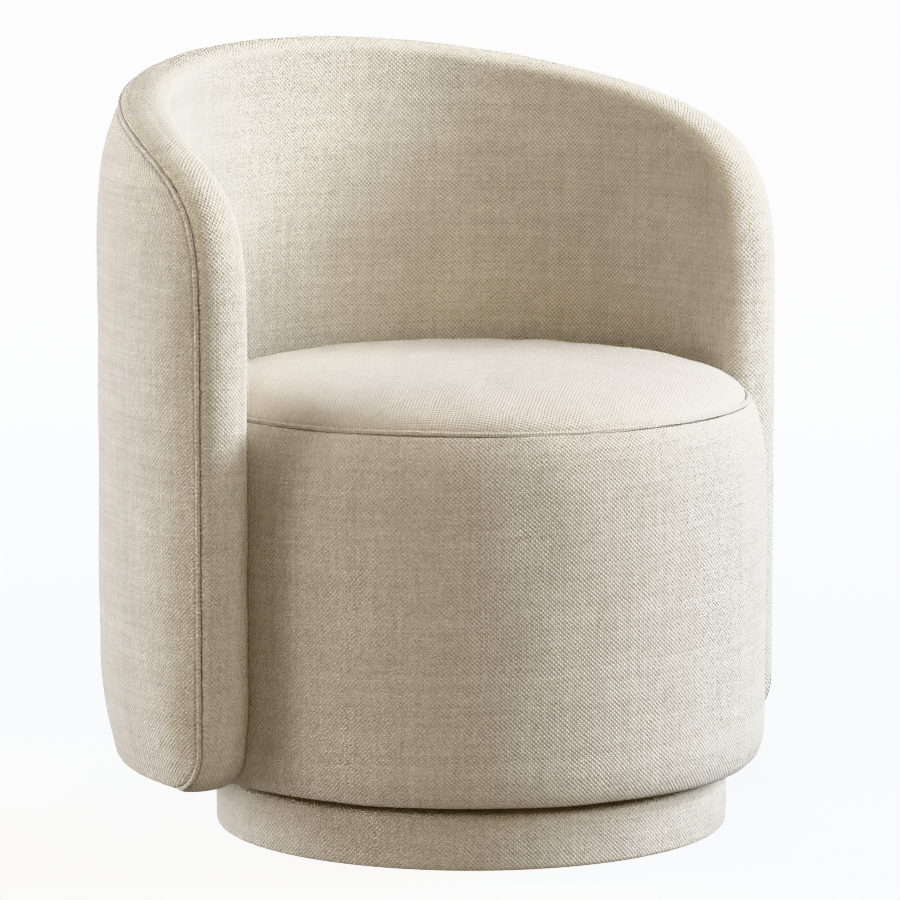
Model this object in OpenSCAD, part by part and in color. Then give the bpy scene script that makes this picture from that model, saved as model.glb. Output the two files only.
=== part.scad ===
// Swivel barrel armchair: a round drum seat inside a padded shell that forms
// the back and both arms, turning on a ball race above a round plinth.
// Millimetres. +Z up, the origin on the floor under the swivel axis.
// The chair faces -Y, its back is towards +Y, and it is symmetric about X = 0.

/* [Plinth] */
// Outer radius of the covered plinth
plinth_r = 244.5; // [240:0.5:248]
// Height of the covered plinth
plinth_h = 54; // [52:1:60]
// Number of nail-on glides round the rim
glide_count = 6; // [4:1:10]

/* [Swivel] */
// Number of balls in the race
ball_count = 24; // [12:1:36]
// Radius of the ball circle
race_r = 130; // [128:1:132]
// Radius of one ball
ball_r = 3.5; // [3.3:0.1:3.6]

/* [Drum seat] */
// Fullest outer radius of the covered drum
drum_r = 281.8; // [280:0.2:282]
// Height of the piped seam round the seat
seam_h = 410; // [405:1:420]
// Rise of the seat's crown above that seam
seat_crown = 35; // [28:1:42]

/* [Shell] */
// Inner radius of the shell
shell_ri = 284; // [283.8:0.2:285]
// Fullest outer radius of the shell
shell_ro = 355; // [353:1:358]
// Height of the piping at the middle of the back
shell_top = 723; // [715:1:730]
// How far the piping falls from the back to the side
shell_drop = 76.4; // [66:0.2:84]
// Half of the angle that the shell wraps round the drum
arm_angle = 96.4; // [94:0.2:98]
// Height of the shell's lowest piping
shell_z0 = 69.8; // [68:0.2:74]
// Radius of the piping cord
piping_r = 2.4; // [2:0.1:2.4]
// How far the arm fronts swell past the piping
roll_swell = 18; // [14:0.5:20]

/* [Cover] */
// Thickness of the woven cover
cloth = 1.6; // [1.2:0.1:1.6]

/* [Hidden] */
upright_count = 9;                // posts in the drum, so that one stands behind each bolt column
$fn = 64;
e = 0.3;                          // small gap between neighbours

// heights
board_z = 3;                      // underside of the plinth's bottom board
board_t = 12;
top_t = 16;
sw0 = plinth_h - 2;               // seat of the swivel on the plinth
sw_h = 15;                        // height of the closed swivel
ball_z = sw0 + sw_h / 2;
drum_board_z = sw0 + sw_h;        // underside of the drum's board
drum_z0 = drum_board_z - 1.8;     // underside of the drum's cover
drum_board_t = 16;
ring_z = 358;
ring_t = 18;
deck_z = ring_z + ring_t;
board_r = 262;
plinth_board_r = plinth_r - 10.5;

// bolts that hold the shell to the drum
bolt_angles = [-60, -20, 20, 60];
bolt_heights = [150, 290];

// shell construction radii
pipe_r = 338.3;                   // piping on the arm fronts, and scale of the side curve
pipe_r_top = 330.7;               // piping along the top
pipe_tuck = 4.4;                  // how far the piping is drawn in along the bottom
ply_r = 305;
ply_t = 6;
rail_r = ply_r + ply_t + e;
rail_t = 13.7;
skin_r = 325.3;
skin_t = 3;
edge_in = 26;                     // frame edge, inside the piping line
rail_w = 13;

// ---- side curve of the shell, unrolled at pipe_r: a along the arc, z up ----
function deg(a) = a / pipe_r * 180 / PI;
a_end = arm_angle * PI / 180 * pipe_r;
function top_z(a) = shell_top - shell_drop * (1 - cos(deg(a)));
function top_s(a) = -shell_drop * sin(deg(a)) / pipe_r;
a0 = 341.4;                       // where the top line starts to round off
z3 = 469;                         // where the front edge becomes vertical
zx = top_z(a0) + top_s(a0) * (a_end - a0);
c_b = 40;                         // lower front corner
cp = [[a0, top_z(a0)],
      [a_end, zx],
      [a_end, z3 + 0.78 * (zx - z3)], [a_end, z3]];
function unit(v) = v / norm(v);
function bez(t) = pow(1 - t, 3) * cp[0] + 3 * pow(1 - t, 2) * t * cp[1]
  + 3 * (1 - t) * t * t * cp[2] + pow(t, 3) * cp[3];
function bez_d(t) = unit(pow(1 - t, 2) * (cp[1] - cp[0]) + 2 * (1 - t) * t * (cp[2] - cp[1])
  + t * t * (cp[3] - cp[2]));
function st_top(a) = let (g = atan(top_s(a))) [a, top_z(a), sin(g), -cos(g)];
function st_bez(t) = let (p = bez(t), d = bez_d(t)) [p[0], p[1], d[1], -d[0]];
function st_arc(w) = [a_end - c_b + c_b * cos(w), shell_z0 + c_b + c_b * sin(w), -cos(w), -sin(w)];
// stations [a, z, inward a, inward z] from the top of the back round to its bottom
half = concat(
  [for (i = [0:7]) st_top(a0 * i / 8)],
  [for (i = [0:12]) st_bez(i / 13)],
  [for (i = [0:4]) [a_end, z3 + (shell_z0 + c_b - z3) * i / 5, -1, 0]],
  [for (i = [0:4]) st_arc(-18 * i)],
  [for (i = [0:13]) [(a_end - c_b) * (1 - i / 13), shell_z0, 0, 1]]);
loop = concat(half, [for (i = [len(half) - 2:-1:1])
  [-half[i][0], half[i][1], -half[i][2], half[i][3]]]);

function smooth(x) = let (t = min(1, max(0, x))) t * t * (3 - 2 * t);
function rp(s) = pipe_r + (pipe_r_top - pipe_r) * smooth((s[1] - 520) / 170)
  - (s[1] < shell_z0 + c_b ? pipe_tuck * smooth((a_end - 0.4 * c_b - abs(s[0])) / 60) : 0);
// swell of the roll past the piping: full down the arm fronts, less along the top and bottom
function swell(s) = roll_swell * (1 - 0.45 * smooth((s[1] - 593) / 66) - 0.68 * smooth((150 - s[1]) / 80));
// a point at inward offset d and radius r for station s
function at(s, d, r) = let (w = deg(s[0] + s[2] * d)) [r * sin(w), r * cos(w), s[1] + s[3] * d];
// a point part way from that offset line to an inner line shrunk by kx, kz about z0
function towards(s, d, r, f, kx, kz, z0) = let (a = s[0] + s[2] * d, z = s[1] + s[3] * d,
  a2 = s[0] * kx, z2 = z0 + (s[1] - shell_z0) * kz,
  w = deg(a + (a2 - a) * f)) [r * sin(w), r * cos(w), z + (z2 - z) * f];
function hem(s, o, f) = towards(s, roll_d, shell_ri + o, f, 0.78, 0.34, 115);

// front roll of the shell: from the inner wall over the swell to the piping
roll_d = 4;
roll_rc = 309.3;
roll_n = 2.8;
function roll(s, o, w) = at(s, roll_d - (roll_d + swell(s) - o) * pow(sin(w), 2 / roll_n),
  shell_ri + o + (roll_rc - shell_ri - o) * (1 - pow(cos(w), 2 / roll_n)));
// from the crest round to the piping, which it would meet at w = 90
function face(s, o, w) = at(s, o - swell(s) + (swell(s) - o - 0.5) * (1 - cos(w)),
  roll_rc + (rp(s) - 1.5 - o - roll_rc) * sin(w));
// outer panel: crowned from the piping to the full radius, on lines that run from the
// piping at inward distance d to a short middle line
function crown(s, d) = rp(s) + (shell_ro - rp(s)) * (1 - pow(1 - min(1, d / 320), 8.8));
function mid_a(s) = s[0] * 0.76 * (1 - 0.09 * min(1, pow((s[1] - 300) / 190, 2)));
function mid_z(s) = 300 + (s[1] - shell_z0) * 0.16;
function mid_l(s) = norm([mid_a(s) - s[0], mid_z(s) - s[1]]);
function panel(s, d, r) = let (f = d / mid_l(s), w = deg(s[0] + (mid_a(s) - s[0]) * f))
  [r * sin(w), r * cos(w), s[1] + (mid_z(s) - s[1]) * f];
// how squarely the panel's line leaves the piping at station s
function slant(s) = max(0.55, (unit([mid_a(s) - s[0], mid_z(s) - s[1]]) * [s[2], s[3]]));
// distances of the panel's rows along the line of station s, starting d0 clear of the piping
function rows_d(s, d0) = concat([d0 / slant(s), 18, 34], [for (g = [0.2, 0.45, 0.72, 1]) 34 + (mid_l(s) - 34) * g]);

// closed tube round the loop from a list of section rows; from row k on, the rows run back
module band(rows, k) {
  n = len(loop);
  m = len(rows);
  polyhedron(points = [for (r = rows) each r],
    faces = [for (j = [0:m - 1]) each (j < k ? strip(j * n, (j + 1) % m * n)
      : strip_back(j * n, (j + 1) % m * n))], convexity = 10);
}
// closed sheet: its outer rows run from the edge to the middle, its inner ones back again
module sheet(outer, inner) {
  n = len(loop);
  m = len(outer);
  k = len(inner);
  polyhedron(points = concat([for (r = outer) each r], [for (r = inner) each r]),
    faces = concat(
      [for (j = [0:m - 2]) each strip(j * n, (j + 1) * n)],
      [for (j = [m:m + k - 2]) each strip_back(j * n, (j + 1) * n)],
      strip((m + k - 1) * n, 0),
      middle((m - 1) * n, true), middle(m * n, false)), convexity = 10);
}
// faces between two rows that start at points p and q
function strip(p, q) = let (n = len(loop)) [for (i = [0:n - 1]) let (i2 = (i + 1) % n)
  each [[p + i, q + i2, p + i2], [p + i, q + i, q + i2]]];
// the same with the other diagonal, so that a sheet's two sides run parallel
function strip_back(p, q) = let (n = len(loop)) [for (i = [0:n - 1]) let (i2 = (i + 1) % n)
  each [[p + i, q + i, p + i2], [p + i2, q + i, q + i2]]];
// faces that close a row across its middle, from its upper half to its lower half
function middle(p, flip) = let (n = len(loop), m = n / 2)
  [for (i = [0:m / 2 - 1]) each concat(
    quad(p + i, p + i + 1, p + m - i - 1, p + m - i, flip),
    quad(p + (n - i) % n, p + m + i, p + m + i + 1, p + n - i - 1, flip))];
function quad(a, b, c, d, flip) = [for (t = [[a, b, c], [a, c, d]])
  if (t[0] != t[1] && t[1] != t[2] && t[0] != t[2]) flip ? [t[2], t[1], t[0]] : t];

module revolve(pts) { rotate_extrude($fn = 128) polygon(pts); }
module ring(r1, r2, z0, z1) {
  rotate_extrude($fn = 128) translate([r1, z0]) square([r2 - r1, z1 - z0]);
}
// side view of the frame at radius r, inside the piping line by d, drawn out along X
module side(r, d) {
  rotate([90, 0, 90]) linear_extrude(height = 900, center = true)
    polygon(concat([[r + 60, half[0][1] - d]],
      [for (s = half) [r * cos(deg(s[0] + s[2] * d)), s[1] + s[3] * d]],
      [[r + 60, shell_z0 + d]]));
}
module frame_edge() {
  difference() {
    side(rail_r + rail_t / 2, edge_in);
    side(rail_r + rail_t / 2, edge_in + rail_w);
  }
}
module slab(z0, z1) { translate([-450, -450, z0]) cube([900, 900, z1 - z0]); }
module spokes(r) {
  for (w = bolt_angles) for (z = bolt_heights)
    rotate([0, 0, -w]) translate([0, r, z]) rotate([-90, 0, 0]) children();
}
module hex(af, h) { cylinder(h = h, r = af / 2 / cos(30), $fn = 6); }

// ---------------------------------------------------------------- plinth ----
ply = "burlywood";
zinc = "silver";
cream = "linen";
block_r = 212;
glide_r = 206;
plate_bolt = 118;

module plinth_bottom_board() color(ply) difference() {
  translate([0, 0, board_z]) cylinder(h = board_t, r = plinth_board_r, $fn = 128);
  for (i = [0:glide_count - 1]) rotate([0, 0, 360 / glide_count * i])
    translate([0, -glide_r, 0]) cylinder(h = 13, r = 1.25, $fn = 24);
  cylinder(h = 13, r = 1.25, $fn = 24);
  for (i = [0:5]) rotate([0, 0, 60 * i + 30]) translate([0, -block_r, 0]) {
    cylinder(h = 40, r = 2.3, $fn = 24);
    cylinder(h = board_z + 2.8, r = 4.4, $fn = 24);
  }
}
module plinth_ring_wall() color(ply)
  ring(plinth_board_r - 6, plinth_board_r, board_z + board_t, sw0 - top_t);
module plinth_blocks() color(ply) for (i = [0:5]) rotate([0, 0, 60 * i + 30])
  difference() {
    translate([-20, -block_r - 13, board_z + board_t]) cube([40, 24, sw0 - top_t - board_z - board_t]);
    translate([0, -block_r, 0]) cylinder(h = 32, r = 2.3, $fn = 24);
  }
module plinth_top_board() color(ply) difference() {
  translate([0, 0, sw0 - top_t]) cylinder(h = top_t, r = plinth_board_r, $fn = 128);
  translate([0, 0, sw0 - top_t - 1]) cylinder(h = top_t + 2, r = 24);
  for (x = [-1, 1]) for (y = [-1, 1]) translate([x * plate_bolt, y * plate_bolt, sw0 - top_t - 1]) {
    cylinder(h = top_t + 2, r = 3.3, $fn = 24);
    cylinder(h = 10, r = 4.3, $fn = 24);
  }
}
module plinth_screws() color(zinc) for (i = [0:5]) rotate([0, 0, 60 * i + 30])
  translate([0, -block_r, board_z + 0.2]) {
    cylinder(h = 2.4, r = 4.2, $fn = 24);
    cylinder(h = 27, r = 2.2, $fn = 24);
  }
module plinth_padding() color("khaki") difference() {
  union() {
    ring(plinth_board_r + e, plinth_r - cloth - e, board_z + 3, sw0 - 5.5);
    ring(plinth_board_r + e, plinth_r - cloth - e - 4, board_z + 0.5, sw0 - 0.6);
  }
}
module plinth_cover() color(cream) rotate_extrude($fn = 128) {
  r = plinth_r;
  // side
  translate([r - cloth, 6]) square([cloth, plinth_h - 13]);
  // rounded top edge, and the flap over the top board
  intersection() {
    translate([r - 7, plinth_h - 7]) difference() { circle(r = 7); circle(r = 7 - cloth); }
    translate([r - 7, plinth_h - 7]) square([7, 7]);
  }
  translate([205, plinth_h - cloth]) square([r - 7 - 205, cloth]);
  // rounded bottom edge, and the flap under the bottom board
  intersection() {
    translate([r - 4.7, 6]) difference() { circle(r = 4.7); circle(r = 4.7 - cloth); }
    translate([r - 4.7, 6 - 4.7]) square([4.7, 4.7]);
  }
  translate([222, 1.3]) square([r - 4.7 - 222, cloth]);
}
module plinth_dust_cover() color("dimgray") difference() {
  ring(0, 221.5, board_z - 0.6, board_z - 0.1);
  cylinder(h = 13, r = 1.4, $fn = 24);
  for (i = [0:glide_count - 1]) rotate([0, 0, 360 / glide_count * i])
    translate([0, -glide_r, 0]) cylinder(h = 13, r = 1.4, $fn = 24);
}
module glide(r) {
  translate([0, 0, 0]) cylinder(h = 2.3, r = r);
  cylinder(h = 11.5, r = 1.2, $fn = 24);
}
module floor_glides() color("gray") for (i = [0:glide_count - 1])
  rotate([0, 0, 360 / glide_count * i]) translate([0, -glide_r, 0]) glide(12);
module centre_glide() color("gray") glide(16);

// ---------------------------------------------------------------- swivel ----
module plate_outline(h) {
  intersection() {
    translate([-140, -140, 0]) cube([280, 280, h]);
    cylinder(h = h, r = 184, $fn = 128);
  }
}
module race_plate(hub) {
  difference() {
    union() {
      plate_outline(3);
      ring(race_r - 16, race_r + 16, 0, 5.5);
      cylinder(h = hub, r = 13);
    }
    translate([0, 0, sw_h / 2]) rotate_extrude($fn = 128) translate([race_r, 0]) circle(r = ball_r + 0.05);
    translate([0, 0, -1]) cylinder(h = hub + 5, r = 8.06);
    for (x = [-1, 1]) for (y = [-1, 1]) translate([x * plate_bolt, y * plate_bolt, -1])
      cylinder(h = 6, r = 3.3, $fn = 24);
    for (w = [0:90:270]) rotate([0, 0, w + 22.5]) translate([62, 0, -1]) cylinder(h = 6, r = 16);
  }
}
module swivel_lower_plate() color(zinc) translate([0, 0, sw0]) race_plate(8);
module swivel_upper_plate() color(zinc) translate([0, 0, drum_board_z]) mirror([0, 0, 1]) race_plate(3);
module button_bolt(len) {
  difference() {
    union() {
      cylinder(h = 3.2, r = 5.6, $fn = 32);
      translate([0, 0, -len]) cylinder(h = len, r = 3, $fn = 32);
    }
    translate([0, 0, 1.2]) hex(4, 3);
  }
}
module tee_nut(r, flange, t) {
  difference() {
    union() {
      translate([0, 0, -t]) cylinder(h = t, r = flange, $fn = 32);
      cylinder(h = 8.5, r = r + 1.1, $fn = 32);
    }
    translate([0, 0, -t - 1]) cylinder(h = 12, r = r + 0.06, $fn = 32);
  }
}
module lower_plate_bolts() color(zinc) for (x = [-1, 1]) for (y = [-1, 1])
  translate([x * plate_bolt, y * plate_bolt, sw0 + 3]) button_bolt(19);
module lower_tee_nuts() color(zinc) for (x = [-1, 1]) for (y = [-1, 1])
  translate([x * plate_bolt, y * plate_bolt, sw0 - top_t]) tee_nut(3, 9, 1.4);
module ball_cage() color("gainsboro") difference() {
  ring(race_r - 11, race_r + 11, ball_z - 0.6, ball_z + 0.6);
  for (i = [0:ball_count - 1]) rotate([0, 0, 360 / ball_count * i])
    translate([race_r, 0, ball_z - 2]) cylinder(h = 4, r = ball_r + 0.08, $fn = 32);
}
module bearing_balls() color("lightsteelblue") for (i = [0:ball_count - 1])
  rotate([0, 0, 360 / ball_count * i]) translate([race_r, 0, ball_z]) sphere(r = ball_r, $fn = 32);
module upper_plate_bolts() color(zinc) for (x = [-1, 1]) for (y = [-1, 1])
  translate([x * plate_bolt, y * plate_bolt, drum_board_z - 3]) mirror([0, 0, 1]) button_bolt(19);
module upper_tee_nuts() color(zinc) for (x = [-1, 1]) for (y = [-1, 1])
  translate([x * plate_bolt, y * plate_bolt, drum_board_z + drum_board_t]) mirror([0, 0, 1]) tee_nut(3, 9, 1.4);
module king_pin() color(zinc) {
  translate([0, 0, drum_board_z]) cylinder(h = 5, r = 14);
  translate([0, 0, sw0 - 15]) cylinder(h = drum_board_z - sw0 + 16, r = 8);
}
module pin_washer() color(zinc) ring(8.06, 19, sw0 - 2.5, sw0 - 0.4);
module pin_lock_nut() color(zinc) difference() {
  translate([0, 0, sw0 - 11.5]) hex(24, 9);
  translate([0, 0, sw0 - 13]) cylinder(h = 12, r = 8.06);
}

// ------------------------------------------------------------- drum seat ----
// outer radius of the covered drum at height z: rounded below, drawn in above
function drum_at(z) = let (tb = max(0, 1 - (z - drum_z0) / 34), ts = max(0, (z - seam_h + 80) / 80),
  b = (z - 228) / 150)
  drum_r - 1.2 * b * b - 12 * (1 - sqrt(max(0, 1 - tb * tb))) - 18 * (1 - sqrt(max(0, 1 - ts * ts)));
seam_r = 262.7;
function dome(r) = seam_h - 1 + (seat_crown + 1) * pow(max(0, 1 - pow(r / 261.7, 5)), 0.54);
drum_zs = concat([for (i = [0:5]) drum_z0 + 34 * (1 - cos(18 * i)) ], [for (i = [1:6]) drum_z0 + 34 + (seam_h - 80 - drum_z0 - 34) * i / 6],
  [for (i = [1:8]) seam_h - 80 + 78.4 * sin(90 * i / 8)]);
drum_out = [for (z = drum_zs) [drum_at(z), z]];
// the same line moved inwards by t
function inset(p, t) = [for (i = [0:len(p) - 1])
  let (a = p[max(0, i - 1)], b = p[min(len(p) - 1, i + 1)], d = unit(b - a)) p[i] + t * [-d[1], d[0]]];
function back(p) = [for (i = [len(p) - 1:-1:0]) p[i]];
dome_rs = [for (i = [0:12]) 259.5 * sin(90 * i / 12)];
dome_out = [for (r = dome_rs) [r, dome(r)]];

module drum_bottom_board() color(ply) difference() {
  translate([0, 0, drum_board_z]) cylinder(h = drum_board_t, r = board_r, $fn = 128);
  translate([0, 0, drum_board_z - 1]) cylinder(h = drum_board_t + 2, r = 20);
  for (x = [-1, 1]) for (y = [-1, 1]) translate([x * plate_bolt, y * plate_bolt, drum_board_z - 1]) {
    cylinder(h = drum_board_t + 2, r = 3.3, $fn = 24);
    translate([0, 0, drum_board_t + 2 - 10]) cylinder(h = 10, r = 4.3, $fn = 24);
  }
  drum_screw_holes();
}
module drum_posts() for (i = [0:upright_count - 1]) rotate([0, 0, 20 + 360 / upright_count * i])
  translate([-20, 239, drum_board_z + drum_board_t]) cube([40, 22, ring_z - drum_board_z - drum_board_t]);
module drum_screw_holes() for (i = [0:upright_count - 1]) rotate([0, 0, 20 + 360 / upright_count * i])
  translate([0, 250, 0]) {
    translate([0, 0, drum_board_z - 1]) { cylinder(h = 48, r = 2.3, $fn = 24); cylinder(h = 4, r = 4.4, $fn = 24); }
    translate([0, 0, deck_z - 46]) cylinder(h = 48, r = 2.3, $fn = 24);
    translate([0, 0, deck_z - 3]) cylinder(h = 4, r = 4.4, $fn = 24);
  }
module drum_uprights() color("wheat") difference() {
  drum_posts();
  drum_screw_holes();
  spokes(230) cylinder(h = 40, r = 4.2, $fn = 24);
}
module drum_top_ring() color(ply) difference() {
  ring(196, board_r, ring_z, deck_z);
  drum_screw_holes();
}
module drum_screws() color(zinc) for (i = [0:upright_count - 1]) rotate([0, 0, 20 + 360 / upright_count * i])
  translate([0, 250, 0]) {
    translate([0, 0, drum_board_z + 0.2]) { cylinder(h = 2.6, r = 4.2, $fn = 24); cylinder(h = 44, r = 2.2, $fn = 24); }
    translate([0, 0, deck_z - 44]) cylinder(h = 43.8, r = 2.2, $fn = 24);
    translate([0, 0, deck_z - 2.8]) cylinder(h = 2.6, r = 4.2, $fn = 24);
  }
module drum_side_panel() color("peru") difference() {
  ring(board_r + e, board_r + e + 4, drum_board_z, deck_z);
  spokes(250) cylinder(h = 30, r = 4.4, $fn = 24);
}
module drum_foam_wrap() color("khaki") difference() {
  revolve(concat([[board_r + 4.6, drum_board_z + 0.6]],
    [for (z = drum_zs) if (z > drum_board_z + 1 && z < deck_z + 4) [drum_at(z) - cloth - 0.7, z]],
    [[drum_at(deck_z + 5.5) - cloth - 0.7, deck_z + 5.5], [board_r + 4.6, deck_z + 5.5]]));
  spokes(255) cylinder(h = 40, r = 14.6, $fn = 48);
}
module drum_cover() color(cream) difference() {
  revolve(concat([[215, drum_z0]], drum_out, back(inset(drum_out, cloth)), [[266, drum_z0 + cloth], [215, drum_z0 + cloth]]));
  spokes(255) cylinder(h = 40, r = 14.6, $fn = 48);
}
module drum_dust_cover() color("dimgray") ring(186, 214.5, drum_board_z - 0.7, drum_board_z - 0.1);
module strap(x) {
  l = sqrt(248 * 248 - (abs(x) + 25) * (abs(x) + 25));
  translate([x - 25, -l, 0]) cube([50, 2 * l, 1.4]);
}
module seat_webbing() color("saddlebrown") {
  for (x = [-140:70:140]) translate([0, 0, deck_z + 0.1]) strap(x);
  for (x = [-140:70:140]) translate([0, 0, deck_z + 1.8]) rotate([0, 0, 90]) strap(x);
}
module seat_felt() color("gray") ring(0, board_r, deck_z + 3.5, deck_z + 5.5);
module seat_foam() color("khaki") revolve(concat(
  [[0, deck_z + 6]], [for (i = [0:5]) let (z = deck_z + 6 + (seam_h - 7 - deck_z - 6) * i / 5) [drum_at(z) - cloth - 0.8, z]],
  [[seam_r - 0.2, seam_h - 3.4]],
  [for (p = back(dome_out)) if (p[0] < 256) [p[0], p[1] - cloth - 0.8]]));
module seat_cover() color(cream) revolve(concat(dome_out, back([for (p = inset(dome_out, -cloth)) [max(0, p[0]), p[1]]])));
module seat_piping() color(cream) rotate_extrude($fn = 128) translate([seam_r, seam_h + 0.4]) circle(r = piping_r, $fn = 24);

// ----------------------------------------------------------------- shell ----
module shell_inner_panel() color("wheat") difference() {
  intersection() {
    ring(ply_r, ply_r + ply_t, 60, 760);
    side(ply_r + ply_t / 2, edge_in);
  }
  spokes(295) cylinder(h = 30, r = 5.2, $fn = 24);
}
module shell_outer_panel() color("peru") intersection() {
  ring(skin_r, skin_r + skin_t, 60, 760);
  side(skin_r + skin_t / 2, edge_in);
}
module shell_rail(z0, z1) intersection() {
  ring(rail_r, rail_r + rail_t - e, z0, z1);
  frame_edge();
}
module shell_top_rail() color("wheat") shell_rail(480 + e, 760);
module shell_front_posts() color("wheat") intersection() {
  shell_rail(118 + e, 480);
  translate([-450, -200, 0]) cube([900, 400, 800]);
}
module shell_bottom_rail() color("wheat") shell_rail(60, 118);
module shell_ribs() color("wheat") intersection() {
  for (w = [-78, -40, 0, 40, 78]) rotate([0, 0, -w])
    translate([-8, rail_r + 0.4, 90]) cube([16, rail_t - 1.2, 640]);
  side(rail_r + rail_t / 2, edge_in + rail_w + e);
}
foam_o = cloth + 0.8;
module back_foam() color("khaki") band(concat(
  [for (f = [1, 0.75, 0.5, 0.25]) [for (s = loop) hem(s, foam_o, f)]],
  [for (w = [0, 28, 52, 72, 90]) [for (s = loop) roll(s, foam_o, w)]],
  [for (w = [28, 52, 72]) [for (s = loop) face(s, foam_o, w)]],
  [[for (s = loop) at(s, 3.4, rp(s) - 5)],
   [for (s = loop) at(s, 6.4, skin_r + skin_t - 0.1)],
   [for (s = loop) at(s, edge_in - 2.5, skin_r + skin_t - 0.1)],
   [for (s = loop) at(s, edge_in - 2.5, ply_r - 0.7)]],
  [for (f = [0.25, 0.5, 0.75, 1]) [for (s = loop) towards(s, roll_d, ply_r - 0.7, f, 0.78, 0.34, 115)]]), 99);
module back_cover_inner() color(cream) band(concat(
  [for (f = [1, 0.75, 0.5, 0.25]) [for (s = loop) hem(s, 0, f)]],
  [for (w = [0, 28, 52, 72, 90]) [for (s = loop) roll(s, 0, w)]],
  [for (w = [28, 52, 76]) [for (s = loop) face(s, 0, w)]],
  [for (w = [76, 52, 28]) [for (s = loop) face(s, cloth, w)]],
  [for (w = [90, 72, 52, 28, 0]) [for (s = loop) roll(s, cloth, w)]],
  [for (f = [0.25, 0.5, 0.75, 1]) [for (s = loop) hem(s, cloth, f)]]), 12);
module outer_padding() color("khaki") sheet(
  [for (j = [0:6]) [for (s = loop) let (d = rows_d(s, 7.5)[j]) panel(s, d, crown(s, d) - foam_o)]],
  [for (j = [6:-1:0]) [for (s = loop) panel(s, rows_d(s, 7.5)[j], skin_r + skin_t + 1.9)]]);
module back_cover_outer() color(cream) sheet(
  [for (j = [0:6]) [for (s = loop) let (d = rows_d(s, piping_r + 0.5)[j]) panel(s, d, crown(s, d))]],
  [for (j = [6:-1:0]) [for (s = loop) let (d = rows_d(s, piping_r + 0.5)[j]) panel(s, d, crown(s, d) - cloth)]]);
module shell_spacers() color("wheat") spokes(board_r + 4.8) difference() {
  cylinder(h = ply_r - 0.6 - board_r - 4.8, r = 14);
  translate([0, 0, -1]) cylinder(h = 60, r = 4.4, $fn = 24);
}
module shell_bolts() color(zinc) {
  spokes(236.6) cylinder(h = 78.4, r = 4, $fn = 32);
  spokes(231.3) hex(13, 5.3);
}
module shell_bolt_washers() color(zinc) spokes(236.8) difference() {
  cylinder(h = 2, r = 12, $fn = 32);
  translate([0, 0, -1]) cylinder(h = 4, r = 4.3, $fn = 24);
}
module shell_tee_nuts() color(zinc) spokes(ply_r + 0.4) difference() {
  union() {
    cylinder(h = ply_t + 0.2, r = 5.1, $fn = 32);
    translate([0, 0, ply_t + 0.2]) cylinder(h = 1.5, r = 9.5, $fn = 32);
  }
  translate([0, 0, -1]) cylinder(h = 12, r = 4.06, $fn = 32);
}
module back_piping() color(cream) band(
  [for (k = [0:7]) [for (s = loop) at(s, piping_r * sin(45 * k), rp(s) + piping_r * cos(45 * k))]], 99);

plinth_bottom_board();
plinth_ring_wall();
plinth_blocks();
plinth_top_board();
plinth_screws();
plinth_padding();
plinth_cover();
plinth_dust_cover();
floor_glides();
centre_glide();
swivel_lower_plate();
lower_plate_bolts();
lower_tee_nuts();
ball_cage();
bearing_balls();
swivel_upper_plate();
upper_plate_bolts();
upper_tee_nuts();
king_pin();
pin_washer();
pin_lock_nut();
drum_bottom_board();
drum_uprights();
drum_top_ring();
drum_screws();
drum_side_panel();
drum_foam_wrap();
drum_cover();
drum_dust_cover();
seat_webbing();
seat_felt();
seat_foam();
seat_cover();
seat_piping();
shell_inner_panel();
shell_outer_panel();
shell_top_rail();
shell_bottom_rail();
shell_front_posts();
shell_ribs();
back_foam();
outer_padding();
back_cover_inner();
back_cover_outer();
back_piping();
shell_spacers();
shell_bolts();
shell_bolt_washers();
shell_tee_nuts();
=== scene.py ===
"""Swivel barrel armchair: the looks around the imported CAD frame.

Everything is in the CAD's own frame. Shapes are worked out in millimetres with the same
formulas as the CAD, in a finer mesh, and turned into metres when a mesh is made.
"""

import math

import bpy
import numpy as np
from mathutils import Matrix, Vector


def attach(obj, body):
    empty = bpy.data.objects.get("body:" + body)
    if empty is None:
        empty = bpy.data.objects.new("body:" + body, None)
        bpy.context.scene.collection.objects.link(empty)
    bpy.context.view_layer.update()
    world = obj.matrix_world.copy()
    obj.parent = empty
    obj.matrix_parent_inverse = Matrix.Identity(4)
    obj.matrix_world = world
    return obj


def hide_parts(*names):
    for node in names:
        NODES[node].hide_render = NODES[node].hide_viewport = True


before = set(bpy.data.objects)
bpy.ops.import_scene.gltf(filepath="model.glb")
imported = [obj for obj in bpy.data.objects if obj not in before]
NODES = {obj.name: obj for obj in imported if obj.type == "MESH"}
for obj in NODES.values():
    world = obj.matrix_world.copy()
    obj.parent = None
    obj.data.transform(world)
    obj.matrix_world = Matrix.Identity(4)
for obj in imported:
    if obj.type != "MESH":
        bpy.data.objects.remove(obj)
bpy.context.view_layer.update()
PI = math.pi


# ------------------------------------------------------------------ camera ----
ALPHA = math.radians(36.1)


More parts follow.
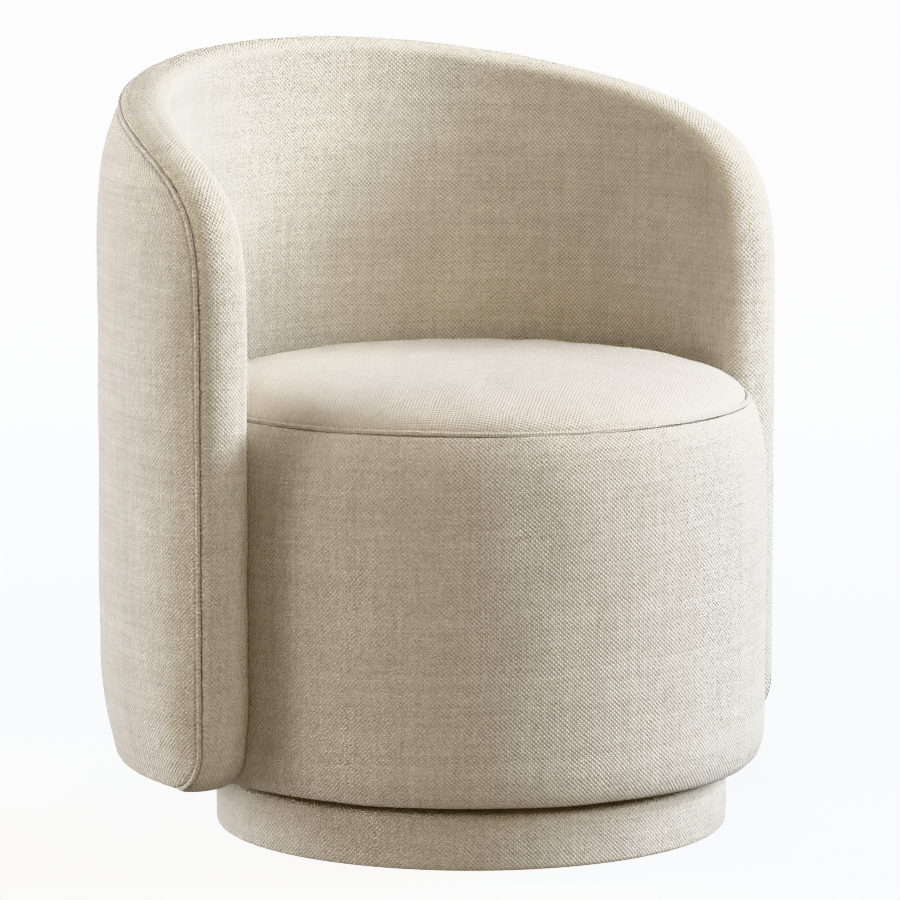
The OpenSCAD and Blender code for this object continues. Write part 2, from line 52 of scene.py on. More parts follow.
def camera():
    """The photograph's view, solved from the piping and the drum's ellipses."""
    dist, height, pitch, yaw = 5.4816, 1.1606, 0.1454, -0.0037
    sa, ca = math.sin(ALPHA), math.cos(ALPHA)
    fx, fy = math.sin(yaw) * math.cos(pitch), math.cos(yaw) * math.cos(pitch)
    forward = Vector((fx * ca + fy * sa, -fx * sa + fy * ca, -math.sin(pitch)))
    data = bpy.data.cameras.new("camera")
    data.sensor_fit = "HORIZONTAL"
    data.sensor_width = 36
    data.lens = 5815.1 / 900 * 36
    data.clip_start, data.clip_end = 0.5, 40
    eye = bpy.data.objects.new("camera", data)
    bpy.context.scene.collection.objects.link(eye)
    eye.location = (-dist * sa, -dist * ca, height)
    eye.rotation_euler = forward.to_track_quat("-Z", "Y").to_euler()
    bpy.context.scene.camera = eye
    return eye


camera()


# --------------------------------------------------- dimensions, as in the CAD ----
PLINTH_R, PLINTH_H = 244.5, 54.0
DRUM_R, SEAM_H, CROWN = 281.8, 410.0, 35.0
RI, RO, TOP, DROP, ARM, Z0 = 284.0, 355.0, 723.0, 76.4, 96.4, 69.8
PIPE, SWELL, CLOTH = 2.4, 18.0, 1.6
PR, PR_TOP, TUCK = 338.3, 330.7, 8.0
A0, Z3, CB = 341.4, 469.0, 40.0
UNDER = 110.0
ROLL_D, ROLL_RC, ROLL_N = 4.0, 309.3, 2.8
DRUM_Z0 = 65.2
SEAM_R = 262.7
AEND = ARM * PI / 180 * PR


def top_z(a):
    return TOP - DROP * (1 - np.cos(a / PR))


def top_s(a):
    return -DROP * np.sin(a / PR) / PR


ZX = top_z(A0) + top_s(A0) * (AEND - A0)
CP = np.array([[A0, top_z(A0)],
               [AEND, ZX], [AEND, Z3 + 0.78 * (ZX - Z3)], [AEND, Z3]])


def outline(step):
    """Stations of the shell's edge, [a, z, inward a, inward z], from the top of the back down
    to the bottom, about step apart, and then back up the other side."""
    n = max(2, round(A0 / step))
    a = np.arange(n) * A0 / n
    g = np.arctan(top_s(a))
    top = np.stack([a, top_z(a), np.sin(g), -np.cos(g)], 1)
    n = max(2, round(240 / step))
    t = (np.arange(n) / n)[:, None]
    p = ((1 - t) ** 3 * CP[0] + 3 * (1 - t) ** 2 * t * CP[1] + 3 * (1 - t) * t * t * CP[2]
         + t ** 3 * CP[3])
    d = (1 - t) ** 2 * (CP[1] - CP[0]) + 2 * (1 - t) * t * (CP[2] - CP[1]) + t * t * (CP[3] - CP[2])
    d /= np.linalg.norm(d, axis=1)[:, None]
    bez = np.concatenate([p, d[:, 1:2], -d[:, 0:1]], 1)
    n = max(2, round((Z3 - Z0 - CB) / step))
    z = Z3 + (Z0 + CB - Z3) * np.arange(n) / n
    side = np.stack([np.full(n, AEND), z, np.full(n, -1.0), np.zeros(n)], 1)
    n = max(4, round(CB * PI / 2 / step))
    w = -PI / 2 * np.arange(n) / n
    arc = np.stack([AEND - CB + CB * np.cos(w), Z0 + CB + CB * np.sin(w), -np.cos(w), -np.sin(w)], 1)
    n = max(2, round((AEND - CB) / step))
    bottom = np.stack([(AEND - CB) * (1 - np.arange(n + 1) / n), np.full(n + 1, Z0),
                       np.zeros(n + 1), np.ones(n + 1)], 1)
    half = np.concatenate([top, bez, side, arc, bottom])
    if len(half) % 2 == 0:
        half = np.concatenate([half[:1], (half[:1] + half[1:2]) / 2, half[1:]])
    other = half[-2:0:-1] * np.array([-1, 1, -1, 1])
    return np.concatenate([half, other])


def smooth(x):
    t = np.clip(x, 0, 1)
    return t * t * (3 - 2 * t)


def bottom_run(s):
    """1 along the bottom edge, 0 on the arm fronts and the top."""
    return (s[:, 1] < Z0 + CB) * smooth((AEND - 0.4 * CB - np.abs(s[:, 0])) / 36)


def rp(s):
    """Radius of the piping at each station."""
    return PR + (PR_TOP - PR) * smooth((s[:, 1] - 520) / 170) - TUCK * bottom_run(s)


def swell(s):
    """How far the roll swells past the piping."""
    z = s[:, 1]
    return SWELL * (1 - 0.45 * smooth((z - 593) / 66) - 0.68 * smooth((150 - z) / 80))


def polar(w, r, z):
    return np.stack([r * np.sin(w), r * np.cos(w), z], -1)


def at(s, d, r):
    return polar((s[:, 0] + s[:, 2] * d) / PR, r, s[:, 1] + s[:, 3] * d)


def towards(s, d, r, f, kx, kz, zm):
    a, z = s[:, 0] + s[:, 2] * d, s[:, 1] + s[:, 3] * d
    return polar((a + (s[:, 0] * kx - a) * f) / PR, r, z + (zm + (s[:, 1] - Z0) * kz - z) * f)


def roll(s, o, w):
    # rounder along the top of the back
    n = ROLL_N - 0.65 * smooth((s[:, 1] - 560) / 100)
    sw, cw = math.sin(w) ** (2 / n), max(0.0, math.cos(w)) ** (2 / n)
    return at(s, ROLL_D - (ROLL_D + swell(s) - o) * sw, RI + o + (ROLL_RC - RI - o) * (1 - cw))


def face(s, o, w):
    """From the crest of the roll, w = 0, round to the piping, which it would meet at a right angle."""
    e = swell(s) - o
    return at(s, -e + (e - 0.5) * (1 - math.cos(w)), ROLL_RC + (rp(s) - 1.5 - o - ROLL_RC) * math.sin(w))


def mid_a(s):
    return s[:, 0] * 0.76 * (1 - 0.09 * np.minimum(1, ((s[:, 1] - 300) / 190) ** 2))


def mid_z(s):
    return 300 + (s[:, 1] - Z0) * 0.16


def drum_at(z, tb_r=34.0):
    z = np.asarray(z, float)
    tb = np.clip(1 - (z - DRUM_Z0) / tb_r, 0, 1)
    ts = np.clip((z - SEAM_H + 80) / 80, 0, 1)
    b = (z - 228) / 150
    return DRUM_R - 1.2 * b * b - 12 * (1 - np.sqrt(1 - tb * tb)) - 18 * (1 - np.sqrt(1 - ts * ts))


def dome(r):
    return SEAM_H - 1 + (CROWN + 1) * np.maximum(0, 1 - (np.asarray(r, float) / 261.7) ** 5) ** 0.54


def waves(u, v, short, long, seed, n=26):
    """Smooth unevenness with wavelengths from short to long, about -1 to 1."""
    rng = np.random.default_rng(seed)
    out = np.zeros(np.broadcast(u, v).shape)
    for _ in range(n):
        length = short * (long / short) ** rng.random()
        turn, phase = rng.random() * 2 * PI, rng.random() * 2 * PI
        out += np.sin(2 * PI / length * (u * math.cos(turn) + v * math.sin(turn)) + phase)
    return out / math.sqrt(n)


# -------------------------------------------------------------- mesh making ----
def make(name, points, faces, uvs=None, outward=None, more=None):
    """A mesh from millimetres, with uvs in metres for each face corner. outward(centres) says
    which way the surface looks."""
    points = np.asarray(points, float)
    faces = [tuple(int(i) for i in f) for f in faces]
    if outward is not None:
        sample = faces[:: max(1, len(faces) // 4000)]
        c = np.array([points[list(f)].mean(0) for f in sample])
        n = np.array([np.cross(points[f[2]] - points[f[0]], points[f[-1]] - points[f[1]]) for f in sample])
        if (n * outward(c)).sum() < 0:
            faces = [f[::-1] for f in faces]
            uvs, more = ([q[::-1] for q in w] if w is not None else None for w in (uvs, more))
    mesh = bpy.data.meshes.new(name)
    mesh.from_pydata((points / 1000).tolist(), [], faces)
    for title, corners in (("weave", uvs), ("weave_band", more)):
        if corners is not None:
            layer = mesh.uv_layers.new(name=title)
            flat = np.concatenate([np.asarray(q, float).reshape(-1, 2) for q in corners]).astype(np.float32)
            layer.data.foreach_set("uv", flat.ravel())
    mesh.polygons.foreach_set("use_smooth", [True] * len(mesh.polygons))
    mesh.update()
    o = bpy.data.objects.new(name, mesh)
    bpy.context.scene.collection.objects.link(o)
    return o


def grid(rows, closed=True):
    """Quads of a grid with rows[j][i] points, closed round i."""
    m, n = len(rows), len(rows[0])
    index = np.arange(m * n).reshape(m, n)
    nxt = np.roll(index, -1, 1)
    q = np.stack([index[:-1], nxt[:-1], nxt[1:], index[1:]], -1)
    if not closed:
        q = q[:, :-1]
    return q


def grid_uv(lo, hi, closed=True, wrap=None):
    """Corner uvs of one strip between two rows of uvs; wrap is added to u past the last column."""
    nlo, nhi = np.roll(lo, -1, 0).copy(), np.roll(hi, -1, 0).copy()
    if wrap is not None:
        nlo[-1, 0] += wrap
        nhi[-1, 0] += wrap
    q = np.stack([lo, nlo, nhi, hi], 1)
    return q if closed else q[:-1]


def thicken(o, t=CLOTH):
    m = o.modifiers.new("cloth", "SOLIDIFY")
    m.thickness = t / 1000
    m.offset = -1
    m.use_rim = True
    return o


def lengths(rows):
    """Running length down each column of a grid of points."""
    p = np.asarray(rows)
    step = np.linalg.norm(np.diff(p, axis=0), axis=2)
    return np.concatenate([np.zeros((1, p.shape[1])), np.cumsum(step, 0)])


def push(rows, amount, ref):
    """Moves a grid's points along its own normals, which look the way of ref(points)."""
    p = np.asarray(rows, float)
    du = np.roll(p, -1, 1) - np.roll(p, 1, 1)
    dv = np.gradient(p, axis=0)
    n = np.cross(du, dv)
    length = np.linalg.norm(n, axis=2, keepdims=True)
    n = n / np.maximum(length, 1e-9)
    n[length[..., 0] < 1e-9] = 0
    sign = np.sign((n * ref(p)).sum(-1, keepdims=True))
    return p + n * sign * np.asarray(amount)[..., None]


def away(p):
    """Outwards from the swivel's axis."""
    q = np.array(p, float)
    q[..., 2] = 0
    return q


def inwards(p):
    return -away(p)


def upwards(p):
    q = np.zeros_like(p)
    q[..., 2] = 1
    return q


# -------------------------------------------------------------- materials ----
def material(name):
    m = bpy.data.materials.new(name)
    m.use_nodes = True
    m.node_tree.nodes.clear()
    return m


class Net:
    """A small helper that wires shader nodes."""

    def __init__(self, tree):
        self.tree = tree

    def node(self, kind, **values):
        n = self.tree.nodes.new(kind)
        for k, v in values.items():
            setattr(n, k, v)
        return n

    def put(self, socket, value):
        if hasattr(value, "is_output") or isinstance(value, bpy.types.NodeSocket):
            self.tree.links.new(value, socket)
        else:
            socket.default_value = value

    def math(self, op, a, b=None, c=None, clamp=False):
        n = self.node("ShaderNodeMath", operation=op, use_clamp=clamp)
        for k, v in enumerate((a, b, c)):
            if v is not None:
                self.put(n.inputs[k], v)
        return n.outputs[0]

    def vec(self, op, a, b=None, scale=None):
        n = self.node("ShaderNodeVectorMath", operation=op)
        self.put(n.inputs[0], a)
        if b is not None:
            self.put(n.inputs[1], b)
        if scale is not None:
            self.put(n.inputs["Scale"], scale)
        return n.outputs["Value"] if op in ("LENGTH", "DOT_PRODUCT", "DISTANCE") else n.outputs[0]

    def split(self, v):
        n = self.node("ShaderNodeSeparateXYZ")
        self.put(n.inputs[0], v)
        return n.outputs

    def join(self, x, y, z=0.0):
        n = self.node("ShaderNodeCombineXYZ")
        for k, v in enumerate((x, y, z)):
            self.put(n.inputs[k], v)
        return n.outputs[0]

    def noise(self, vector, scale, detail=2.0, rough=0.5, dims="3D", distortion=0.0):
        n = self.node("ShaderNodeTexNoise", noise_dimensions=dims)
        self.put(n.inputs["Vector"], vector)
        self.put(n.inputs["Scale"], scale)
        self.put(n.inputs["Detail"], detail)
        self.put(n.inputs["Roughness"], rough)
        self.put(n.inputs["Distortion"], distortion)
        return n.outputs["Fac"]

    def white(self, vector):
        n = self.node("ShaderNodeTexWhiteNoise", noise_dimensions="3D")
        self.put(n.inputs["Vector"], vector)
        return n.outputs["Value"]

    def ramp(self, value, lo, hi, to_lo=0.0, to_hi=1.0, kind="SMOOTHSTEP"):
        n = self.node("ShaderNodeMapRange", interpolation_type=kind, clamp=True)
        self.put(n.inputs["Value"], value)
        self.put(n.inputs["From Min"], lo)
        self.put(n.inputs["From Max"], hi)
        self.put(n.inputs["To Min"], to_lo)
        self.put(n.inputs["To Max"], to_hi)
        return n.outputs["Result"]

    def mix(self, fac, a, b, kind="MIX"):
        n = self.node("ShaderNodeMix", data_type="RGBA", blend_type=kind)
        self.put(n.inputs["Factor"], fac)
        self.put(n.inputs["A"], a)
        self.put(n.inputs["B"], b)
        return n.outputs["Result"]

    def bump(self, height, distance, strength=1.0, normal=None):
        n = self.node("ShaderNodeBump")
        n.inputs["Strength"].default_value = strength
        n.inputs["Distance"].default_value = distance
        self.put(n.inputs["Height"], height)
        if normal is not None:
            self.put(n.inputs["Normal"], normal)
        return n.outputs["Normal"]

    def finish(self, colour, normal=None, **shader):
        p = self.node("ShaderNodeBsdfPrincipled")
        out = self.node("ShaderNodeOutputMaterial")
        self.put(p.inputs["Base Color"], colour)
        if normal is not None:
            self.put(p.inputs["Normal"], normal)
        for k, v in shader.items():
            self.put(p.inputs[k.replace("_", " ")], v)
        self.tree.links.new(p.outputs[0], out.inputs["Surface"])
        return p


def rgb(r, g, b):
    """An sRGB colour, 0 to 255, as linear."""
    f = lambda c: c / 12.92 if c <= 0.04045 else ((c + 0.055) / 1.055) ** 2.4
    return tuple(f(c / 255) for c in (r, g, b)) + (1.0,)


PITCH = 0.0021  # one thread of the cover, metres


def cells(k, uv, pitch):
    """Height and lightness of a plain weave of slubby yarn at uv, in metres: warp runs along v."""
    # threads wander a little
    drift = k.node("ShaderNodeTexNoise", noise_dimensions="2D")
    k.put(drift.inputs["Vector"], uv)
    drift.inputs["Scale"].default_value = 22.0
    drift.inputs["Detail"].default_value = 2.0
    drift.inputs["Roughness"].default_value = 0.55
    moved = k.vec("ADD", uv, k.vec("SCALE", k.vec("SUBTRACT", drift.outputs["Color"], (0.5, 0.5, 0.5)), scale=0.0042))
    u, v, _ = k.split(k.vec("SCALE", moved, scale=1 / pitch))
    i, j = k.math("FLOOR", u), k.math("FLOOR", v)
    warp_r, weft_r = k.white(k.join(i, 3.7)), k.white(k.join(9.2, j))
    su, sv = k.math("SINE", k.math("MULTIPLY", u, PI)), k.math("SINE", k.math("MULTIPLY", v, PI))
    knot = k.math("MULTIPLY", su, sv)                        # +1 warp on top, -1 weft on top
    cell = k.white(k.join(i, j, 1.3))
    lift = k.math("ADD", k.math("MULTIPLY", cell, 0.5), 0.75)
    high = k.math("MULTIPLY", k.math("MAXIMUM", knot, 0.0), lift)
    low = k.math("MULTIPLY", k.math("MINIMUM", knot, 0.0), k.math("SUBTRACT", 1.6, lift))
    # soft ribs of the single threads
    au, av = k.math("ABSOLUTE", su), k.math("ABSOLUTE", sv)
    ribs = k.math("MULTIPLY", k.math("POWER", k.math("MAXIMUM", au, 0.001), 0.6),
                  k.math("POWER", k.math("MAXIMUM", av, 0.001), 0.6))
    # slubs: lengths of thicker yarn
    warp_slub = k.noise(k.join(k.math("MULTIPLY", i, 0.77), k.math("MULTIPLY", v, 0.045)), 1.0, 2.0, dims="2D")
    weft_slub = k.noise(k.join(k.math("MULTIPLY", u, 0.04), k.math("ADD", k.math("MULTIPLY", j, 0.77), 41.0)), 1.0, 2.0, dims="2D")
    slub = k.math("ADD", k.math("SUBTRACT", warp_slub, 0.5), k.math("SUBTRACT", weft_slub, 0.5))
    # streaks a few threads wide: yarn from another cone
    across = k.noise(k.join(k.math("MULTIPLY", u, 0.026), k.math("ADD", k.math("MULTIPLY", v, 0.45), 11.0)), 1.0, 2.0, dims="2D")
    upward = k.noise(k.join(k.math("MULTIPLY", u, 0.45), k.math("ADD", k.math("MULTIPLY", v, 0.026), 77.0)), 1.0, 2.0, dims="2D")
    streak = k.math("ADD", k.math("SUBTRACT", across, 0.5), k.math("SUBTRACT", upward, 0.5))
    fibre = k.noise(moved, 2600.0, 2.0, 0.6, dims="2D")
    height = k.math("ADD", k.math("MULTIPLY", k.math("ADD", high, low), 0.5), k.math("MULTIPLY", ribs, 0.22))
    height = k.math("ADD", height, k.math("MULTIPLY", slub, 0.20))
    height = k.math("ADD", height, k.math("MULTIPLY", fibre, 0.10))
    # colour: pores are darker, as painted shade in the gaps between threads; threads differ, broad patches hardly
    painted_pore_shade = k.ramp(k.math("ADD", k.math("ADD", high, low), k.math("MULTIPLY", ribs, 0.5)), -1.0, 0.75)
    tone = k.math("ADD", k.math("MULTIPLY", k.math("SUBTRACT", warp_r, 0.5), 0.07),
                  k.math("MULTIPLY", k.math("SUBTRACT", weft_r, 0.5), 0.10))
    tone = k.math("ADD", tone, k.math("MULTIPLY", slub, 0.12))
    tone = k.math("ADD", tone, k.math("MULTIPLY", streak, 0.10))
    tone = k.math("ADD", tone, k.math("MULTIPLY", k.math("SUBTRACT", k.noise(uv, 9.0, 3.0, dims="2D"), 0.5), 0.05))
    return height, k.math("ADD", k.math("MULTIPLY", painted_pore_shade, 0.86), tone), fibre


def weave(name, light, dark, depth=0.0019, turn=0.0, pitch=PITCH, pair=False):
    """Woven cover, drawn from the piece's own uvs. With pair, the cloth turns from the one set of uvs to
    the other where the piece's band_share rises from 0 to 1."""
    m = material(name)
    k = Net(m.node_tree)
    uv = k.node("ShaderNodeUVMap", uv_map="weave").outputs["UV"]
    if turn:
        r = k.node("ShaderNodeVectorRotate", rotation_type="Z_AXIS")
        k.put(r.inputs["Vector"], uv)
        r.inputs["Angle"].default_value = turn
        uv = r.outputs["Vector"]
    height, shade, fibre = cells(k, uv, pitch)
    if pair:
        other = cells(k, k.node("ShaderNodeUVMap", uv_map="weave_band").outputs["UV"], pitch)
        share = k.node("ShaderNodeAttribute", attribute_name="band_share").outputs["Fac"]
        rest = k.math("SUBTRACT", 1.0, share)
        blend = lambda a, b: k.math("ADD", k.math("MULTIPLY", a, rest), k.math("MULTIPLY", b, share))
        height, shade = blend(height, other[0]), blend(shade, other[1])
    colour = k.mix(k.math("ADD", shade, 0.0, clamp=True), dark, light)
    normal = k.bump(height, depth)
    rough = k.math("ADD", 0.86, k.math("MULTIPLY", fibre, 0.12))
    k.finish(colour, normal, Roughness=rough, Sheen_Weight=0.18, Sheen_Roughness=0.55,
             Specular_IOR_Level=0.22)
    return m


def object_coords(k):
    return k.node("ShaderNodeTexCoord").outputs["Object"]


def wood(name, light, dark, along, stretch=14.0, scale=16.0, plies=None):
    """Wood with grain along an axis; plies is the ply thickness, shown where a face is upright."""
    m = material(name)
    k = Net(m.node_tree)
    p = object_coords(k)
    f = [1.0, 1.0, 1.0]
    f["xyz".index(along)] = 1 / stretch
    q = k.vec("MULTIPLY", p, tuple(f))
    broad = k.noise(q, scale, 3.0, 0.55, distortion=1.2)
    lines = k.math("FRACT", k.math("MULTIPLY", broad, 9.0))
    lines = k.math("ABSOLUTE", k.math("SUBTRACT", k.math("MULTIPLY", lines, 2.0), 1.0))
    pores = k.noise(q, 420.0, 2.0, 0.6)
    t = k.math("ADD", k.math("MULTIPLY", k.ramp(lines, 0.1, 0.95), 0.55),
               k.math("MULTIPLY", k.ramp(pores, 0.35, 0.7), 0.45))
    if plies:
        z = k.split(p)[2]
        layer = k.math("FLOOR", k.math("DIVIDE", z, plies))
        edge = k.math("ABSOLUTE", k.math("SUBTRACT", k.math("FRACT", k.math("DIVIDE", z, plies)), 0.5))
        band = k.math("ADD", k.math("MULTIPLY", k.white(k.join(layer, 2.0)), 0.7), k.ramp(edge, 0.40, 0.5, 0.3, 0.0))
        nz = k.split(k.node("ShaderNodeNewGeometry").outputs["True Normal"])[2]
        upright = k.ramp(k.math("ABSOLUTE", nz), 0.3, 0.7, 1.0, 0.0)
        t = k.math("ADD", k.math("MULTIPLY", band, upright),
                   k.math("MULTIPLY", t, k.math("SUBTRACT", 1.0, upright)))
    colour = k.mix(t, light, dark)
    normal = k.bump(k.math("ADD", k.math("MULTIPLY", lines, 0.3), k.math("MULTIPLY", pores, 0.7)), 0.0002)
    k.finish(colour, normal, Roughness=k.ramp(pores, 0.2, 0.8, 0.55, 0.8), Specular_IOR_Level=0.3)
    return m


def fibreboard(name):
    m = material(name)
    k = Net(m.node_tree)
    p = object_coords(k)
    flecks = k.noise(k.vec("MULTIPLY", p, (1.0, 1.0, 2.2)), 900.0, 3.0, 0.7)
    broad = k.noise(p, 30.0, 3.0, 0.5)
    t = k.math("ADD", k.math("MULTIPLY", k.ramp(flecks, 0.3, 0.7), 0.7), k.math("MULTIPLY", broad, 0.3))
    colour = k.mix(t, rgb(120, 88, 60), rgb(168, 132, 96))
    k.finish(colour, k.bump(flecks, 0.0002), Roughness=k.ramp(flecks, 0.2, 0.8, 0.75, 0.95), Specular_IOR_Level=0.2)
    return m


def metal(name, tint, rough, marks):
    m = material(name)
    k = Net(m.node_tree)
    p = object_coords(k)
    grain = k.noise(k.vec("MULTIPLY", p, (1.0, 1.0, 0.2)), 700.0, 3.0, 0.6)
    blotch = k.noise(p, 60.0, 3.0, 0.6)
    colour = k.mix(k.ramp(blotch, 0.3, 0.7), tuple(c * 0.82 for c in tint[:3]) + (1.0,), tint)
    r = k.math("ADD", k.ramp(blotch, 0.3, 0.7, rough - 0.07, rough + 0.1), k.math("MULTIPLY", grain, marks))
    k.finish(colour, k.bump(grain, 0.00004), Roughness=r, Metallic=1.0)
    return m


def plastic(name, tint, rough):
    m = material(name)
    k = Net(m.node_tree)
    p = object_coords(k)
    skin = k.noise(p, 1500.0, 2.0, 0.5)
    wear = k.noise(p, 70.0, 4.0, 0.6)
    colour = k.mix(k.ramp(wear, 0.35, 0.75), tint, tuple(c * 0.8 for c in tint[:3]) + (1.0,))
    k.finish(colour, k.bump(skin, 0.00005), Roughness=k.ramp(wear, 0.3, 0.7, rough, rough + 0.15), Specular_IOR_Level=0.45)
    return m


def foam(name, tint):
    m = material(name)
    k = Net(m.node_tree)
    p = object_coords(k)
    cells = k.node("ShaderNodeTexVoronoi")
    k.put(cells.inputs["Vector"], p)
    cells.inputs["Scale"].default_value = 900.0
    age = k.noise(p, 14.0, 3.0, 0.5)
    pit = k.ramp(cells.outputs["Distance"], 0.0, 0.5)
    colour = k.mix(k.math("MULTIPLY", pit, k.ramp(age, 0.2, 0.8, 0.7, 1.0)), tuple(c * 0.55 for c in tint[:3]) + (1.0,), tint)
    k.finish(colour, k.bump(pit, 0.0004), Roughness=0.95, Specular_IOR_Level=0.15)
    return m


def cambric(name):
    """Black spun-bond dust cloth with a fine dimpled bond pattern."""
    m = material(name)
    k = Net(m.node_tree)
    p = object_coords(k)
    x, y, _ = k.split(k.vec("SCALE", p, scale=1 / 0.0016))
    dots = k.math("MULTIPLY", k.math("SINE", k.math("MULTIPLY", k.math("ADD", x, y), PI)),
                  k.math("SINE", k.math("MULTIPLY", k.math("SUBTRACT", x, y), PI)))
    hair = k.noise(k.vec("MULTIPLY", p, (1.0, 3.0, 1.0)), 1200.0, 3.0, 0.7)
    t = k.math("ADD", k.math("MULTIPLY", k.ramp(dots, -1.0, 1.0), 0.5), k.math("MULTIPLY", hair, 0.5))
    colour = k.mix(t, rgb(16, 16, 17), rgb(52, 51, 50))
    k.finish(colour, k.bump(t, 0.00015), Roughness=0.9, Specular_IOR_Level=0.2)
    return m


def felt(name):
    m = material(name)
    k = Net(m.node_tree)
    p = object_coords(k)
    a = k.noise(k.vec("MULTIPLY", p, (1.0, 4.0, 1.0)), 500.0, 3.0, 0.7, distortion=1.0)
    b = k.noise(k.vec("MULTIPLY", p, (4.0, 1.0, 1.0)), 500.0, 3.0, 0.7, distortion=1.0)
    t = k.math("MULTIPLY", k.math("ADD", a, b), 0.5)
    colour = k.mix(k.ramp(t, 0.3, 0.7), rgb(96, 94, 92), rgb(158, 155, 150))
    k.finish(colour, k.bump(t, 0.0005), Roughness=0.95, Specular_IOR_Level=0.15)
    return m


def webbing(name):
    """Elastic webbing: lengthwise ribs with two stripes, drawn from uvs in metres."""
    m = material(name)
    k = Net(m.node_tree)
    uv = k.node("ShaderNodeUVMap", uv_map="weave").outputs["UV"]
    u, v, _ = k.split(uv)
    rib = k.math("SINE", k.math("MULTIPLY", u, 2 * PI / 0.0016))
    pick = k.math("SINE", k.math("MULTIPLY", v, 2 * PI / 0.0011))
    line = k.math("ABSOLUTE", k.math("SUBTRACT", k.math("ABSOLUTE", u), 0.017))
    stripe = k.ramp(line, 0.0016, 0.0022, 1.0, 0.0)
    h = k.math("ADD", k.math("MULTIPLY", rib, 0.6), k.math("MULTIPLY", pick, 0.4))
    tone = k.ramp(h, -1.0, 1.0, 0.0, 1.0)
    body = k.mix(tone, rgb(60, 48, 40), rgb(112, 92, 76))
    colour = k.mix(stripe, body, rgb(168, 72, 44))
    k.finish(colour, k.bump(h, 0.0002), Roughness=0.85, Specular_IOR_Level=0.2)
    return m


# DARK is the colour of the darker yarn and of the gaps between threads, which are darkened as painted shade
LIGHT, DARK = rgb(241, 236, 227), rgb(150, 134, 110)
CREAM = weave("cream_weave", LIGHT, DARK)
# the seat's copy of the cream weave is darker, with paler gaps and a shallower relief: painted shade on the brightly
# lit top of the seat
CREAM_SEAT_SHADED = weave("cream_weave_seat_shaded", rgb(230, 224, 216), rgb(178, 166, 147), depth=0.0014)
# the inner cover's copy is lighter in both colours: painted light on the shaded inside of the barrel
CREAM_WRAP_LIT = weave("cream_weave_wrap_lit", rgb(245, 240, 230), rgb(156, 140, 115), pair=True)
CREAM_CORD = weave("cream_piping", LIGHT, DARK)
CREAM_BIAS = weave("cream_piping_bias", LIGHT, DARK, turn=PI / 4)
PLY = wood("plywood", rgb(214, 180, 134), rgb(160, 118, 74), "x", plies=0.0017)
PLY_BENT = wood("plywood_bent", rgb(212, 178, 132), rgb(158, 116, 72), "z")
PINE = wood("softwood", rgb(226, 190, 136), rgb(178, 126, 74), "z", stretch=9.0, scale=26.0)
BOARD = fibreboard("fibreboard")
ZINC = metal("zinc_steel", rgb(196, 200, 206), 0.38, 0.10)
STEEL = metal("bright_steel", rgb(214, 214, 216), 0.16, 0.05)
CAGE = plastic("nylon_cage", rgb(226, 222, 206), 0.45)
GLIDE = plastic("nylon_glide", rgb(120, 112, 100), 0.5)
FOAM = foam("upholstery_foam", rgb(232, 214, 158))
CAMBRIC = cambric("black_cambric")
FELT = felt("grey_felt")
WEB = webbing("elastic_webbing")

for names, mat in (
    (("plinth_bottom_board", "plinth_top_board", "drum_bottom_board", "drum_top_ring"), PLY),
    (("plinth_ring_wall", "shell_inner_panel"), PLY_BENT),
    (("plinth_blocks", "drum_uprights", "shell_top_rail", "shell_bottom_rail", "shell_front_posts",
      "shell_ribs", "shell_spacers"), PINE),
    (("drum_side_panel", "shell_outer_panel"), BOARD),
    (("plinth_screws", "swivel_lower_plate", "lower_plate_bolts", "lower_tee_nuts",
      "swivel_upper_plate", "upper_plate_bolts", "upper_tee_nuts", "king_pin", "pin_washer",
      "pin_lock_nut", "drum_screws", "shell_bolts", "shell_bolt_washers", "shell_tee_nuts"), ZINC),
    (("bearing_balls",), STEEL),
    (("ball_cage",), CAGE),
    (("floor_glides", "centre_glide"), GLIDE),
):
    for n in names:
        o = NODES[n]
        o.data.materials.clear()
        o.data.materials.append(mat)


def dress(o, mat, body, slot, *nodes):
    o.data.materials.append(mat)
    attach(o, body)
    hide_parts(*nodes)
    return o


def area_of(o):
    return sum(p.area for p in o.data.polygons)


# ------------------------------------------------------------- the shell ----
STEP = 5.0
loop = outline(STEP)
N = len(loop)
SIDE = np.sign(loop[:, 0]) + (loop[:, 0] == 0)
# running length of the edge, with the bend's own shrinkage, so that the front runs upright
seg = np.diff(np.concatenate([loop, loop[:1]])[:, :2], axis=0) * np.array([0.88, 1.0])
run = np.concatenate([[0.0], np.cumsum(np.linalg.norm(seg, axis=1))])
TOTAL = run[-1]
run = np.minimum(run[:-1], TOTAL - run[:-1])
front = int(np.argmin(np.abs(loop[: N // 2, 1] - 300)))
BAND_V = run[front] + 300.0


